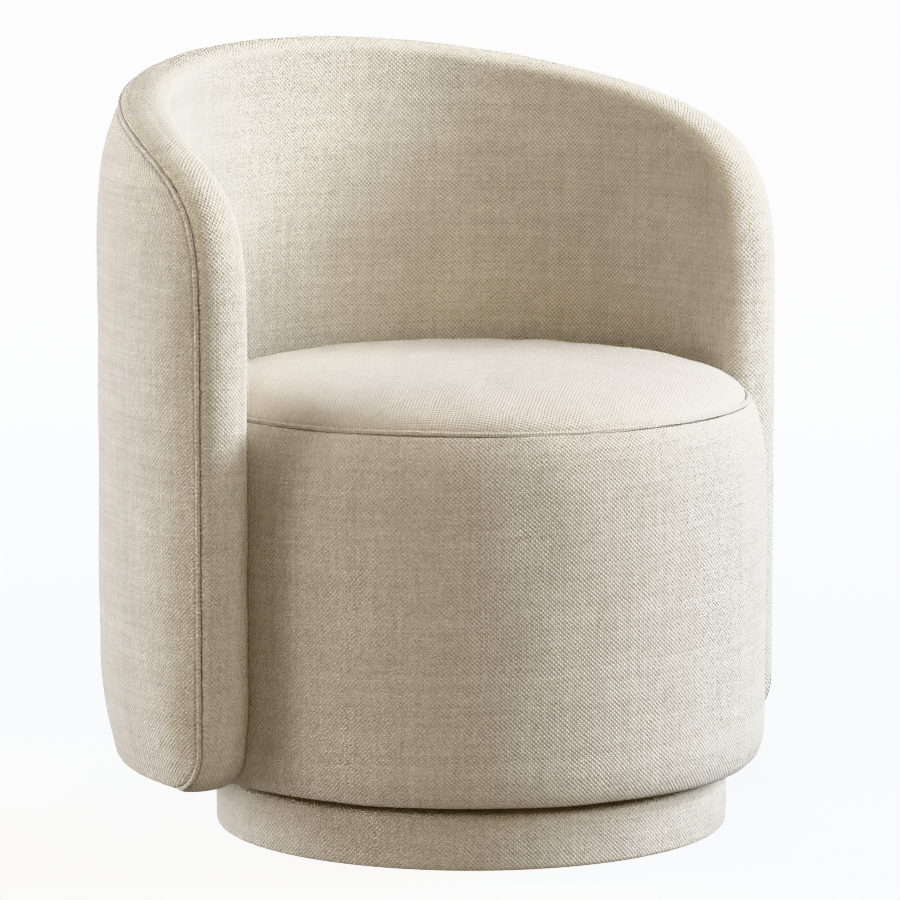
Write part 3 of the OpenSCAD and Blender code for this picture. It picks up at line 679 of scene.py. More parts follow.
def shell_inner_cover():
    """Inside back, arms and the rolled nose in one cover, tucked down behind the seat."""
    rows, kind = [], []
    for f in 1 - (np.linspace(0, 1, 56) ** 1.0):
        f = f ** 1.25
        rows.append(towards(loop, ROLL_D, RI, f, 0.78, 0.34, 115))
    wall = len(rows) - 1
    for w in np.linspace(0, PI / 2, 17)[1:]:
        rows.append(roll(loop, 0, w))
    # round to the piping, which the cloth meets a little below its middle
    r = rp(loop)
    e = swell(loop)
    end = np.arccos(1 - (e - 2.8) / (e - 0.5))
    rise = r - 0.1 - (ROLL_RC + (r - 1.5 - ROLL_RC) * np.sin(end))
    for f in np.linspace(0, 1, 15)[1:]:
        rows.append(at(loop, -e + (e - 0.5) * (1 - np.cos(f * end)),
                       ROLL_RC + (r - 1.5 - ROLL_RC) * np.sin(f * end) + rise * smooth((f - 0.3) / 0.7)))
    # the edge dips into the joint under the piping
    for d, back in ((-2.35, 0.9), (-1.5, 1.75), (0.4, 2.5), (1.7, 2.7)):
        rows.append(at(loop, d, r - back))
    p = np.array(rows)
    sec = lengths(p)
    sec = sec - sec[wall]
    inner_u = np.arctan2(p[..., 0], p[..., 1]) * RI
    wallv = p[..., 2]
    n_wall = wall + 1
    # unevenness: broad and soft on the wall, small gathers beside the piping
    soft = 0.45 * waves(inner_u, wallv, 60, 190, 11) + 0.12 * waves(inner_u, wallv, 22, 50, 12)
    fade = smooth((sec[-1] - sec) / 14.0)
    near = np.exp(-((sec[-1] - sec - 6) / 9.0) ** 2) * (np.arange(len(p)) > wall + 8)[:, None]
    pull = 0.16 * waves(run[None, :] * SIDE, sec * 0.15, 9, 22, 13) * near
    edge = smooth(np.arange(len(p)) / 6.0)[:, None]
    p = push(p, (soft * 0.8 * fade + pull) * edge, inwards)
    faces, uvs = [], []
    q = grid(p)
    # one set of uvs runs on from the wall over the roll, the other follows the roll's edge; they agree on
    # the upright arm fronts and the cloth passes from one to the other on the inner side of the roll
    p2 = 2 * PITCH * 1000
    reach = (AEND - ROLL_D) * RI / PR
    k = round(reach / p2) * p2
    fit = (k - p2 / 2) / reach
    out = np.stack([-loop[:, 2] * RI / PR, -loop[:, 3]], -1)
    out /= np.linalg.norm(out, axis=1, keepdims=True)
    wall_uv = np.stack([inner_u, wallv], -1)
    wall_uv[wall:] = wall_uv[wall] + out[None] * sec[wall:, :, None]
    wall_uv[..., 0] *= fit
    side = 0.5 * (1 + SIDE * smooth(np.abs(loop[:, 0]) / 200))
    band_uv = np.stack([np.broadcast_to(k + sec, sec.shape),
                        np.broadcast_to(BAND_V - run + side * p2 / 2, sec.shape)], -1)
    both = [wall_uv / 1000, band_uv / 1000]
    extra = []
    for j in range(len(p) - 1):
        faces.append(q[j])
        uvs.append(grid_uv(both[0][j], both[0][j + 1]))
        extra.append(grid_uv(both[1][j], both[1][j + 1]))
    share = smooth((sec + 4) / 30)
    faces, uvs, extra = np.concatenate(faces), np.concatenate(uvs), np.concatenate(extra)
    o = make("shell_inner_cloth", p.reshape(-1, 3), faces, list(uvs),
             lambda c: np.where(np.hypot(c[:, 0], c[:, 1])[:, None] < 285.5, inwards(c), 0), more=list(extra))
    o.data.attributes.new("band_share", "FLOAT", "POINT").data.foreach_set("value", share.astype(np.float32).ravel())
    flat_area = area_of(o)
    thicken(o)
    # the inside takes the lighter copy of the cream weave: painted light for its shade
    dress(o, CREAM_WRAP_LIT, "seat", "cream_weave", "back_cover_inner")
    return o, flat_area


def panel_points(s, d, r):
    """Points on the outer panel at distance d along each station's line to the middle."""
    ma, mz = mid_a(s), mid_z(s)
    length = np.hypot(ma - s[:, 0], mz - s[:, 1])
    f = d / length
    # the padding hangs a little below the piping along the bottom
    hang = 4.6 * bottom_run(s) * np.exp(-((d - 8) / 8.0) ** 2)
    return polar((s[:, 0] + (ma - s[:, 0]) * f) / PR, r, s[:, 1] + (mz - s[:, 1]) * f - hang)


def crown(s, d):
    """Radius of the outer panel at distance d from the piping; it turns under in a round edge."""
    low = bottom_run(s)
    soft = 1 - (1 - np.minimum(1, d / 320)) ** 8.8
    turn = (0.30 * np.sqrt(1 - (1 - np.minimum(1, d / 12)) ** 2)
            + 0.70 * (1 - (1 - np.minimum(1, d / UNDER)) ** 2))
    return rp(s) + (RO - rp(s)) * (soft * (1 - low) + turn * low)


def shell_outer_rows(first, lift, count=26):
    s = loop
    ma, mz = mid_a(s), mid_z(s)
    length = np.hypot(ma - s[:, 0], mz - s[:, 1])
    slant = np.maximum(0.55, ((ma - s[:, 0]) * s[:, 2] + (mz - s[:, 1]) * s[:, 3]) / length)
    d0 = first / slant
    rows = []
    for g in np.linspace(0, 1, count) ** 1.6:
        d = d0 + (length - d0) * g
        rows.append(panel_points(s, d, crown(s, d) - lift))
    return rows, slant, length


def shell_outer_cover():
    """The outside cover, pulled smooth over the padding, as one cloth."""
    rows, slant, length = shell_outer_rows(4.4, 0)
    s = loop
    r = rp(s)
    lead = []
    for d, out in ((4.7, -4.0), (3.9, -2.6), (3.45, -1.2), (3.4, -0.2), (3.7, 0.7)):
        lead.append(panel_points(s, d / slant, r + out))
    p = np.array(lead + rows)
    u, v = np.arctan2(p[..., 0], p[..., 1]) * RO, p[..., 2]
    dist = lengths(p)
    fade = smooth((dist - 4) / 30.0)
    soft = (0.5 * waves(u, v, 80, 240, 21) + 0.1 * waves(u, v, 25, 60, 22)) * fade
    gather = 0.14 * waves(run[None, :] * SIDE, dist * 0.15, 9, 22, 23) * np.exp(-((dist - 9) / 9.0) ** 2)
    p = push(p, soft + gather, away)
    m = len(p)
    q = grid(p)
    uv = np.stack([u, v], -1) / 1000
    faces = [q.reshape(-1, 4)]
    uvs = [np.concatenate([grid_uv(uv[j], uv[j + 1]) for j in range(m - 1)])]
    # across the middle
    last = p[-1]
    base = (m - 1) * N
    h = N // 2
    across = 20
    points = [p.reshape(-1, 3)]
    added = m * N
    pairs = [(i % N, (h - i) % N) for i in range(-(h // 2), h // 2 + 1)]
    up = np.array([a for a, _ in pairs])
    down = np.array([b for _, b in pairs])
    pu, pd = last[up], last[down]
    cols = len(pairs)
    # in unrolled terms, so that the points lie on the crowned surface
    au, ad = np.arctan2(pu[:, 0], pu[:, 1]), np.arctan2(pd[:, 0], pd[:, 1])
    ru, rd = np.hypot(pu[:, 0], pu[:, 1]), np.hypot(pd[:, 0], pd[:, 1])
    ids = np.zeros((across + 1, cols), int)
    ids[0], ids[-1] = base + up, base + down
    mid_uv = np.zeros((across + 1, cols, 2))
    for t in range(across + 1):
        f = t / across
        a, rr, z = au + (ad - au) * f, ru + (rd - ru) * f, pu[:, 2] + (pd[:, 2] - pu[:, 2]) * f
        mid_uv[t] = np.stack([a * RO, z], -1) / 1000
        if 0 < t < across:
            bulge = 0.5 * waves(a * RO, z, 80, 240, 21) * math.sin(PI * f) * 0
            points.append(polar(a, rr + bulge, z))
            ids[t] = added + np.arange(cols)
            # the two ends are one point each
            ids[t, 0], ids[t, -1] = added, added + cols - 1
            added += cols
    quads, quv = [], []
    for t in range(across):
        for c in range(cols - 1):
            f = [ids[t, c], ids[t, c + 1], ids[t + 1, c + 1], ids[t + 1, c]]
            w = [mid_uv[t, c], mid_uv[t, c + 1], mid_uv[t + 1, c + 1], mid_uv[t + 1, c]]
            quads.append(f)
            quv.append(w)
    faces.append(np.array(quads))
    uvs.append(np.array(quv))
    pts = np.concatenate(points)
    allf, alluv = np.concatenate(faces), np.concatenate(uvs)
    o = make("shell_outer_cloth", pts, allf, list(alluv))
    import bmesh
    bm = bmesh.new()
    bm.from_mesh(o.data)
    bmesh.ops.remove_doubles(bm, verts=bm.verts, dist=2e-5)
    bmesh.ops.dissolve_degenerate(bm, edges=bm.edges, dist=1e-6)
    bmesh.ops.recalc_face_normals(bm, faces=bm.faces)
    bm.faces.ensure_lookup_table()
    score = sum(f.normal.dot(Vector((f.calc_center_median().x, f.calc_center_median().y, 0))) * f.calc_area() for f in bm.faces)
    if score < 0:
        bmesh.ops.reverse_faces(bm, faces=bm.faces)
    bm.to_mesh(o.data)
    bm.free()
    o.data.polygons.foreach_set("use_smooth", [True] * len(o.data.polygons))
    flat_area = area_of(o)
    thicken(o)
    dress(o, CREAM, "seat", "cream_weave", "back_cover_outer")
    return o, flat_area


def tube(name, centre, e1, e2, radius, mat, body, slot, node, sides=16, along=None):
    """A covered cord: a tube round centre points with directions e1 and e2 across it."""
    rows = []
    n = len(centre)
    step = np.linalg.norm(np.roll(centre, -1, 0) - centre, axis=1)
    length = np.concatenate([[0.0], np.cumsum(step)])
    if along is None:
        along = length[:-1]
    total = length[-1]
    rad = radius * (1 + 0.022 * waves(length[:-1], 0 * length[:-1], 7, 17, 31)
                    + 0.02 * waves(length[:-1], 0 * length[:-1], 30, 80, 32))
    rad[-6:] = rad[-6:] + (rad[0] - rad[-6:]) * smooth(np.arange(1, 7) / 6)
    for k in range(sides + 1):
        w = 2 * PI * k / sides
        rows.append(centre + e1 * (rad * math.cos(w))[:, None] + e2 * (rad * math.sin(w))[:, None])
    p = np.array(rows[:-1])
    q = grid(np.array(rows))
    q = np.where(q >= sides * n, q - sides * n, q)
    uvs = []
    for k in range(sides):
        lo = np.stack([np.full(n, 2 * PI * radius * k / sides), length[:-1]], -1) / 1000
        hi = np.stack([np.full(n, 2 * PI * radius * (k + 1) / sides), length[:-1]], -1) / 1000
        nlo, nhi = np.roll(lo, -1, 0).copy(), np.roll(hi, -1, 0).copy()
        nlo[-1, 1], nhi[-1, 1] = total / 1000, total / 1000
        uvs.append(np.stack([lo, nlo, nhi, hi], 1))
    o = make(name, p.reshape(-1, 3), q.reshape(-1, 4), list(np.concatenate(uvs)))
    import bmesh
    bm = bmesh.new()
    bm.from_mesh(o.data)
    bmesh.ops.recalc_face_normals(bm, faces=bm.faces)
    bm.to_mesh(o.data)
    bm.free()
    o.data.polygons.foreach_set("use_smooth", [True] * len(o.data.polygons))
    return dress(o, mat, body, slot, node)


def shell_piping():
    fine = outline(3.4)
    r = rp(fine)
    c = at(fine, 0, r + 0.8)
    inward = at(fine, 1.0, r + 0.8) - c
    inward /= np.linalg.norm(inward, axis=1)[:, None]
    radial = c * np.array([1, 1, 0])
    radial /= np.linalg.norm(radial, axis=1)[:, None]
    return tube("shell_piping_cord", c, radial, inward, PIPE, CREAM_CORD, "seat", "cream_piping", "back_piping")


# ------------------------------------------------------- the drum and seat ----
def turned(name, profile, columns, radius, mat, body, slot, node, skew=0.0, seed=1, soft=0.4,
           amount=None, look=away, cloth=True, flat_uv=False, v0=0.0):
    """A cover turned about the swivel's axis from [r, z] points; its joint is at the back."""
    profile = np.asarray(profile, float)
    ang = np.linspace(0, 2 * PI, columns, endpoint=False)
    p = np.array([polar(ang, r, np.full(columns, z)) for r, z in profile])
    step = np.linalg.norm(np.diff(profile, axis=0), axis=1)
    v = np.concatenate([[0.0], np.cumsum(step)]) + v0
    around = 2 * PI * radius
    threads = round(around / (2 * PITCH * 1000)) * 2 * PITCH * 1000
    u = ang / (2 * PI) * threads
    uu, vv = np.meshgrid(u, v)
    # sums of whole turns, so that the unevenness closes on itself
    rng = np.random.default_rng(seed)
    uneven = np.zeros_like(uu)
    for _ in range(30):
        k = rng.integers(6, 26)
        uneven += np.sin(k * ang[None, :] + rng.random() * 2 * PI) * np.sin(2 * PI * vv / rng.uniform(120, 320) + rng.random() * 2 * PI)
    uneven *= soft / math.sqrt(15)
    if amount is not None:
        uneven = amount(uneven, ang, profile, v - v0)
    p = push(p, uneven, look)
    q = grid(p)
    uvs = []
    for j in range(len(p) - 1):
        if flat_uv:
            ray = np.stack([np.sin(ang), np.cos(ang)], -1) / 1000
            lo, hi = ray * (v[j] + profile[0, 0]), ray * (v[j + 1] + profile[0, 0])
            uvs.append(grid_uv(lo, hi))
        else:
            lo = np.stack([u, v[j] + u * skew], -1) / 1000
            hi = np.stack([u, v[j + 1] + u * skew], -1) / 1000
            nlo, nhi = np.roll(lo, -1, 0).copy(), np.roll(hi, -1, 0).copy()
            nlo[-1] += np.array([threads, threads * skew]) / 1000
            nhi[-1] += np.array([threads, threads * skew]) / 1000
            uvs.append(np.stack([lo, nlo, nhi, hi], 1))
    return p, q, np.concatenate(uvs)


def gathers(ang, seed, low, high, count=40):
    """Small gathers round a full turn, about -1 to 1."""
    rng = np.random.default_rng(seed)
    out = np.zeros_like(ang)
    for _ in range(count):
        out += np.sin(rng.integers(low, high) * ang + rng.random() * 2 * PI)
    return out / math.sqrt(count / 2)


def drum_profile():
    pts = [[215, DRUM_Z0], [230, DRUM_Z0], [245, DRUM_Z0], [256, DRUM_Z0]]
    t = np.linspace(0, PI / 2, 14)
    pts += [[drum_at(DRUM_Z0 + 34 * (1 - math.cos(x))), DRUM_Z0 + 34 * (1 - math.cos(x))] for x in t]
    zs = np.linspace(DRUM_Z0 + 34, SEAM_H - 80, 60)[1:]
    pts += [[float(drum_at(z)), z] for z in zs]
    x = np.linspace(0, 1, 26)[1:]
    zs = SEAM_H - 80 + 76.9 * np.sin(x * PI / 2)
    pts += [[float(drum_at(z)), z] for z in zs]
    return np.array(pts, float)


def drum_cloth():
    prof = drum_profile()
    # the last few points turn in under the seat's piping
    prof = np.concatenate([prof, [[265.5, 408.0], [264.2, 407.65], [262.8, 407.0], [260.9, 406.1]]])

    def amount(uneven, ang, profile, v):
        top = v[-5] - v
        near = np.exp(-np.abs(top - 7) / 8.0) * (top > -0.1)
        tiny = gathers(ang, 41, 90, 190)
        hold = smooth(v / 60.0)[:, None] * smooth((v[-1] - v) / 8.0)[:, None]
        low = np.exp(-((profile[:, 1] - 96) / 14.0) ** 2)
        tuck = gathers(ang, 42, 30, 90)
        return uneven * hold + 0.14 * near[:, None] * tiny[None, :] + 0.12 * low[:, None] * tuck[None, :]

    p, q, uvs = turned("drum", prof, 420, DRUM_R, CREAM, "seat", "cream_weave", "drum_cover",
                       skew=math.tan(math.radians(1.7)), seed=44, soft=0.38, amount=amount)
    o = make("drum_cloth", p.reshape(-1, 3), q.reshape(-1, 4), list(uvs),
             lambda c: np.where((c[:, 2] > 120)[:, None], away(c), 0))
    a = area_of(o)
    thicken(o)
    dress(o, CREAM, "seat", "cream_weave", "drum_cover")
    return o, a


def seat_cloth():
    rs = np.concatenate([[0.5], np.linspace(0, 1, 46)[1:] * 190, 190 + 69.3 * np.sin(np.linspace(0, PI / 2, 34)[1:])])
    prof = [[r, float(dome(r))] for r in rs]
    prof += [[260.0, 413.4], [260.15, 411.8], [260.3, 410.2], [260.7, 408.9], [261.7, 407.8]]
    prof = np.array(prof)

    def amount(uneven, ang, profile, v):
        edge = v[-4] - v
        near = np.exp(-np.abs(edge - 8) / 9.0)
        centre = smooth((v - 70.0) / 150.0)[:, None] * smooth(edge / 16.0)[:, None]
        return 0.55 * uneven * centre + 0.14 * near[:, None] * gathers(ang, 51, 80, 180)[None, :]

    # the seat takes the darker copy of the cream weave: painted shade for its brightly lit top
    p, q, uvs = turned("seat", prof, 400, SEAM_R, CREAM_SEAT_SHADED, "seat", "cream_weave", "seat_cover",
                       seed=52, soft=0.7, amount=amount, look=upwards, flat_uv=True)
    pts = p.reshape(-1, 3)
    centre = pts[:400].mean(0)
    pts = np.concatenate([pts, [centre]])
    last = len(pts) - 1
    cap = [(i, (i + 1) % 400, last) for i in range(400)]
    cap_uv = [np.array([pts[a][:2], pts[b][:2], pts[c][:2]]) / 1000 for a, b, c in cap]
    quads = q.reshape(-1, 4)
    o = make("seat_cloth", pts, [tuple(f) for f in quads] + [(b, a, c) for a, b, c in cap],
             list(uvs) + [w[[1, 0, 2]] for w in cap_uv], upwards)
    a = area_of(o)
    thicken(o)
    dress(o, CREAM_SEAT_SHADED, "seat", "cream_weave", "seat_cover")
    return o, a


def seat_piping():
    n = 620
    ang = np.linspace(0, 2 * PI, n, endpoint=False)
    c = polar(ang, np.full(n, SEAM_R + 0.5), np.full(n, SEAM_H + 0.3) + 0.25 * gathers(ang, 61, 3, 9))
    radial = polar(ang, np.ones(n), np.zeros(n))
    up = np.tile([0.0, 0.0, 1.0], (n, 1))
    return tube("seat_piping_cord", c, radial, up, PIPE, CREAM_BIAS, "seat", "cream_piping", "seat_piping")


def plinth_cloth():
    r, h = PLINTH_R, PLINTH_H
    prof = [[222, 1.3], [230, 1.3]]
    prof += [[r - 4.7 + 4.7 * math.sin(w), 6.0 - 4.7 * math.cos(w)] for w in np.linspace(0, PI / 2, 7)]
    prof += [[r + 0.5 * math.sin(PI * f), 6 + (h - 13) * f] for f in np.linspace(0, 1, 14)[1:-1]]
    prof += [[r - 7 + 7 * math.cos(w), h - 7 + 7 * math.sin(w)] for w in np.linspace(0, PI / 2, 9)]
    prof += [[x, h] for x in np.linspace(r - 7, 205, 9)[1:]]
    prof = np.array(prof)

    def amount(uneven, ang, profile, v):
        side = np.exp(-((profile[:, 1] - 28) / 16.0) ** 2)[:, None]
        rim = np.exp(-((profile[:, 1] - 50) / 5.0) ** 2)[:, None] * (profile[:, 0] > 236)[:, None]
        return 0.5 * uneven * side + 0.10 * rim * gathers(ang, 71, 60, 150)[None, :]

    p, q, uvs = turned("plinth", prof, 360, r, CREAM, "plinth", "cream_weave", "plinth_cover",
                       skew=math.tan(math.radians(-1.0)), seed=72, soft=0.5, amount=amount, v0=1000.0)
    o = make("plinth_cloth", p.reshape(-1, 3), q.reshape(-1, 4), list(uvs),
             lambda c: np.where(((c[:, 2] > 10) & (c[:, 2] < 44))[:, None], away(c), 0))
    a = area_of(o)
    thicken(o)
    dress(o, CREAM, "plinth", "cream_weave", "plinth_cover")
    return o, a


def dust_cloth(name, r0, r1, z, body, node, seed):
    """Black cloth stapled under a board, a little slack between its staples."""
    ang = np.linspace(0, 2 * PI, 180, endpoint=False)
    rs = np.linspace(max(r0, 1.0), r1, 30)
    slack = []
    for r in rs:
        t = (r - rs[0]) / (rs[-1] - rs[0])
        sag = 0.16 * math.sin(PI * t) * (1 + 0.5 * gathers(ang, seed, 3, 14))
        slack.append(polar(ang, np.full(180, r), z - np.clip(sag, 0, 0.4)))
    p = np.array(slack)
    faces = [tuple(f) for f in grid(p).reshape(-1, 4)]
    pts = p.reshape(-1, 3)
    if r0 < 1:
        pts = np.concatenate([pts, [pts[:180].mean(0)]])
        faces += [((i + 1) % 180, i, len(pts) - 1) for i in range(180)]
    o = make(name, pts, faces, None, lambda c: -upwards(c))
    a = area_of(o)
    thicken(o, 0.4)
    dress(o, CAMBRIC, body, "black_cambric", node)
    return o, a


# ------------------------------------------------------------ inner foams ----
def turned_foam(name, closed, columns, body, node, seed, soft=0.25, keep=None):
    """A closed foam ring or pad turned from a closed [r, z] outline."""
    prof = np.asarray(closed, float)
    ang = np.linspace(0, 2 * PI, columns, endpoint=False)
    p = np.array([polar(ang, r, np.full(columns, z)) for r, z in prof])
    wob = gathers(ang, seed, 4, 30, 30) * soft
    m = len(prof)
    n = columns
    rows = np.concatenate([p, p[:1]])
    q = grid(rows).reshape(-1, 4)
    q = np.where(q >= m * n, q - m * n, q)
    shift = np.zeros(m) if keep is None else np.asarray(keep, float)
    dirs = away(p)
    dirs = dirs / np.maximum(np.linalg.norm(dirs, axis=2, keepdims=True), 1e-6)
    p = p - dirs * (shift[:, None] * np.abs(wob)[None, :])[..., None]
    o = make(name, p.reshape(-1, 3), q)
    import bmesh
    bm = bmesh.new()
    bm.from_mesh(o.data)
    bmesh.ops.remove_doubles(bm, verts=bm.verts, dist=1e-6)
    bmesh.ops.dissolve_degenerate(bm, edges=bm.edges, dist=1e-6)
    bmesh.ops.recalc_face_normals(bm, faces=bm.faces)
    bm.to_mesh(o.data)
    bm.free()
    o.data.polygons.foreach_set("use_smooth", [True] * len(o.data.polygons))
    dress(o, FOAM, body, "upholstery_foam", node)
    return o


def foams():
    # seat: a crowned disc
    out = [[0.4, 382.3], [120, 382.3], [240, 382.3], [255, 382.6]]
    zs = np.linspace(384, SEAM_H - 7.5, 10)
    out += [[float(drum_at(z)) - CLOTH - 1.2, z] for z in zs]
    out += [[SEAM_R - 3.0, SEAM_H - 7.0], [256.6, float(dome(257.5)) - 4.4]]
    out += [[r, float(dome(r)) - CLOTH - 1.6] for r in (252, 246, 236, 222, 200, 170, 140, 110, 80, 50, 25, 0.4)]
    turned_foam("seat_cushion_foam", out, 200, "seat", "seat_foam", 81)
    # drum wrap
    out = [[266.8, 68.2]]
    zs = np.concatenate([np.linspace(68.8, 100, 10), np.linspace(110, 330, 16), np.linspace(338, 380.6, 8)])
    out += [[float(drum_at(z)) - CLOTH - 1.0, z] for z in zs if z > 69]
    out += [[266.8, 381.2], [266.8, 300], [266.8, 200], [266.8, 120]]
    shift = [0] + [1] * (len(out) - 5) + [0] * 4
    turned_foam("drum_wrap_foam", out, 200, "seat", "drum_foam_wrap", 82, 0.2, shift)
    # plinth wrap
    r0 = PLINTH_R - 10.5 + 0.5
    out = [[r0, 3.7], [r0 + 3.5, 3.8], [r0 + 7.8, 6.4], [r0 + 8.0, 20], [r0 + 8.0, 34], [r0 + 7.8, 46.0],
           [r0 + 3.6, 51.0], [r0, 51.1], [r0, 30]]
    turned_foam("plinth_wrap_foam", out, 160, "plinth", "plinth_padding", 83, 0.15, [0, 1, 1, 1, 1, 1, 1, 0, 0])
    # the shell's two pads
    coarse = outline(11.0)
    o_ = CLOTH + 1.0
    rows = [towards(coarse, ROLL_D, RI + o_, f, 0.78, 0.34, 115) for f in np.linspace(1, 0, 12)]
    rows += [roll(coarse, o_, w) for w in np.linspace(0, PI / 2, 9)[1:]]
    rows += [face(coarse, o_, w) for w in np.radians((18, 36, 54, 72))]
    r = rp(coarse)
    rows += [at(coarse, 3.6, r - 5.3), at(coarse, 6.8, np.full(len(coarse), 327.6)),
             at(coarse, 23.2, np.full(len(coarse), 327.8)), at(coarse, 23.4, np.full(len(coarse), 316.0)),
             at(coarse, 23.4, np.full(len(coarse), 303.8))]
    rows += [towards(coarse, ROLL_D, np.full(len(coarse), 303.8), f, 0.78, 0.34, 115) for f in (0.2, 0.4, 0.6, 0.8, 1)]
    p = np.array(rows)
    m, n = p.shape[:2]
    q = grid(np.concatenate([p, p[:1]])).reshape(-1, 4)
    q = np.where(q >= m * n, q - m * n, q)
    soft_pad("shell_back_foam", p.reshape(-1, 3), q, "back_foam")
    rows = []
    s = coarse
    ma, mz = mid_a(s), mid_z(s)
    length = np.hypot(ma - s[:, 0], mz - s[:, 1])
    slant = np.maximum(0.55, ((ma - s[:, 0]) * s[:, 2] + (mz - s[:, 1]) * s[:, 3]) / length)
    d0 = 8.2 / slant
    gs = np.linspace(0, 1, 10) ** 1.5
    for g in gs:
        d = d0 + (length - d0) * g
        rows.append(panel_points(s, d, crown(s, d) - CLOTH - 1.3))
    for g in gs[::-1]:
        d = d0 + (length - d0) * g
        rows.append(panel_points(s, d, np.full(len(s), 330.6)))
    p = np.array(rows)
    m, n = p.shape[:2]
    q = list(grid(np.concatenate([p, p[:1]])).reshape(-1, 4))
    q = [np.where(f >= m * n, f - m * n, f) for f in q]
    half = n // 2
    for base, flip in (((len(gs) - 1) * n, True), (len(gs) * n, False)):
        # fill across the middle, leaving the mesh closed
        q = [f for f in q if not (base == len(gs) * n and set(f) <= set(range((len(gs) - 1) * n, (len(gs) + 1) * n)))]
        for i in range(-(half // 2), half // 2):
            f = [base + i % n, base + (i + 1) % n, base + (half - i - 1) % n, base + (half - i) % n]
            q.append(np.array(f[::-1] if flip else f))
    soft_pad("shell_outer_foam", p.reshape(-1, 3), q, "outer_padding")


def soft_pad(name, pts, faces, node):
    import bmesh
    faces = [f for f in faces if len(set(int(x) for x in f)) > 2]
    clean = []
    for f in faces:
        g = []
        for x in f:
            if int(x) not in g:
                g.append(int(x))
        clean.append(g)
    o = make(name, pts, clean)
    bm = bmesh.new()
    bm.from_mesh(o.data)
    bmesh.ops.remove_doubles(bm, verts=bm.verts, dist=1e-6)
    bmesh.ops.dissolve_degenerate(bm, edges=bm.edges, dist=1e-6)
    bmesh.ops.recalc_face_normals(bm, faces=bm.faces)
    bm.to_mesh(o.data)
    bm.free()
    o.data.polygons.foreach_set("use_smooth", [True] * len(o.data.polygons))
    dress(o, FOAM, "seat", "upholstery_foam", node)
    return o


def straps():
    """Elastic straps, woven over and under each other across the drum's ring."""
    pts, faces, uvs = [], [], []
    places = [-140, -70, 0, 70, 140]
    for turn in (0, 1):
        for k, x in enumerate(places):
            half = math.sqrt(248 ** 2 - (abs(x) + 25) ** 2)
            n = 90
            t = np.linspace(-half, half, n)
            lift = np.zeros(n)
            for m, y in enumerate(places):
                sign = 1 if (k + m) % 2 == turn else -1
                lift += sign * np.exp(-(((t - y) / 27.0) ** 4))
            z = 377.55 + 0.72 * lift
            base = len(pts)
            for yy, zz in zip(t, z):
                for xx in (-24.5, -12, 0, 12, 24.5):
                    q = (x + xx, yy) if turn == 0 else (yy, x + xx)
                    pts.append((q[0], q[1], zz))
            for j in range(n - 1):
                for i in range(4):
                    a = base + j * 5 + i
                    f = [a, a + 1, a + 6, a + 5]
                    w = [((-24.5, -12, 0, 12, 24.5)[i], t[j]), ((-24.5, -12, 0, 12, 24.5)[i + 1], t[j]),
                         ((-24.5, -12, 0, 12, 24.5)[i + 1], t[j + 1]), ((-24.5, -12, 0, 12, 24.5)[i], t[j + 1])]
                    if turn:
                        f, w = f[::-1], w[::-1]
                    faces.append(f)
                    uvs.append(np.array(w) / 1000)
    o = make("seat_straps", pts, faces, uvs)
    thicken(o, 1.1)
    o.modifiers[-1].offset = 0
    dress(o, WEB, "seat", "elastic_webbing", "seat_webbing")
    return o


def felt_pad():
    ang = np.linspace(0, 2 * PI, 160, endpoint=False)
    rows = [polar(ang, np.full(160, r), 381.4 - 0.25 * np.abs(waves(r * np.sin(ang), r * np.cos(ang), 60, 160, 91)))
            for r in np.linspace(1, 261, 28)]
    p = np.array(rows)
    pts = np.concatenate([p.reshape(-1, 3), [p[0].mean(0)]])
    faces = [tuple(f) for f in grid(p).reshape(-1, 4)] + [((i + 1) % 160, i, len(pts) - 1) for i in range(160)]
    o = make("seat_felt_pad", pts, faces, None, upwards)
    a = area_of(o)
    thicken(o, 1.8)
    dress(o, FELT, "seat", "grey_felt", "seat_felt")
    return o


inner, inner_area = shell_inner_cover()
outer, outer_area = shell_outer_cover()
shell_piping()
drum, drum_area = drum_cloth()
seat, seat_area = seat_cloth()
seat_piping()
plinth, plinth_area = plinth_cloth()
under, under_area = dust_cloth("plinth_underside_cloth", 0.5, 221.4, 2.85, "plinth", "plinth_dust_cover", 95)
ringc, ring_area = dust_cloth("drum_underside_cloth", 186.2, 214.4, 66.85, "seat", "drum_dust_cover", 96)
foams()
straps()
felt_pad()

print("areas", inner_area, outer_area, drum_area, seat_area, plinth_area, under_area, ring_area)


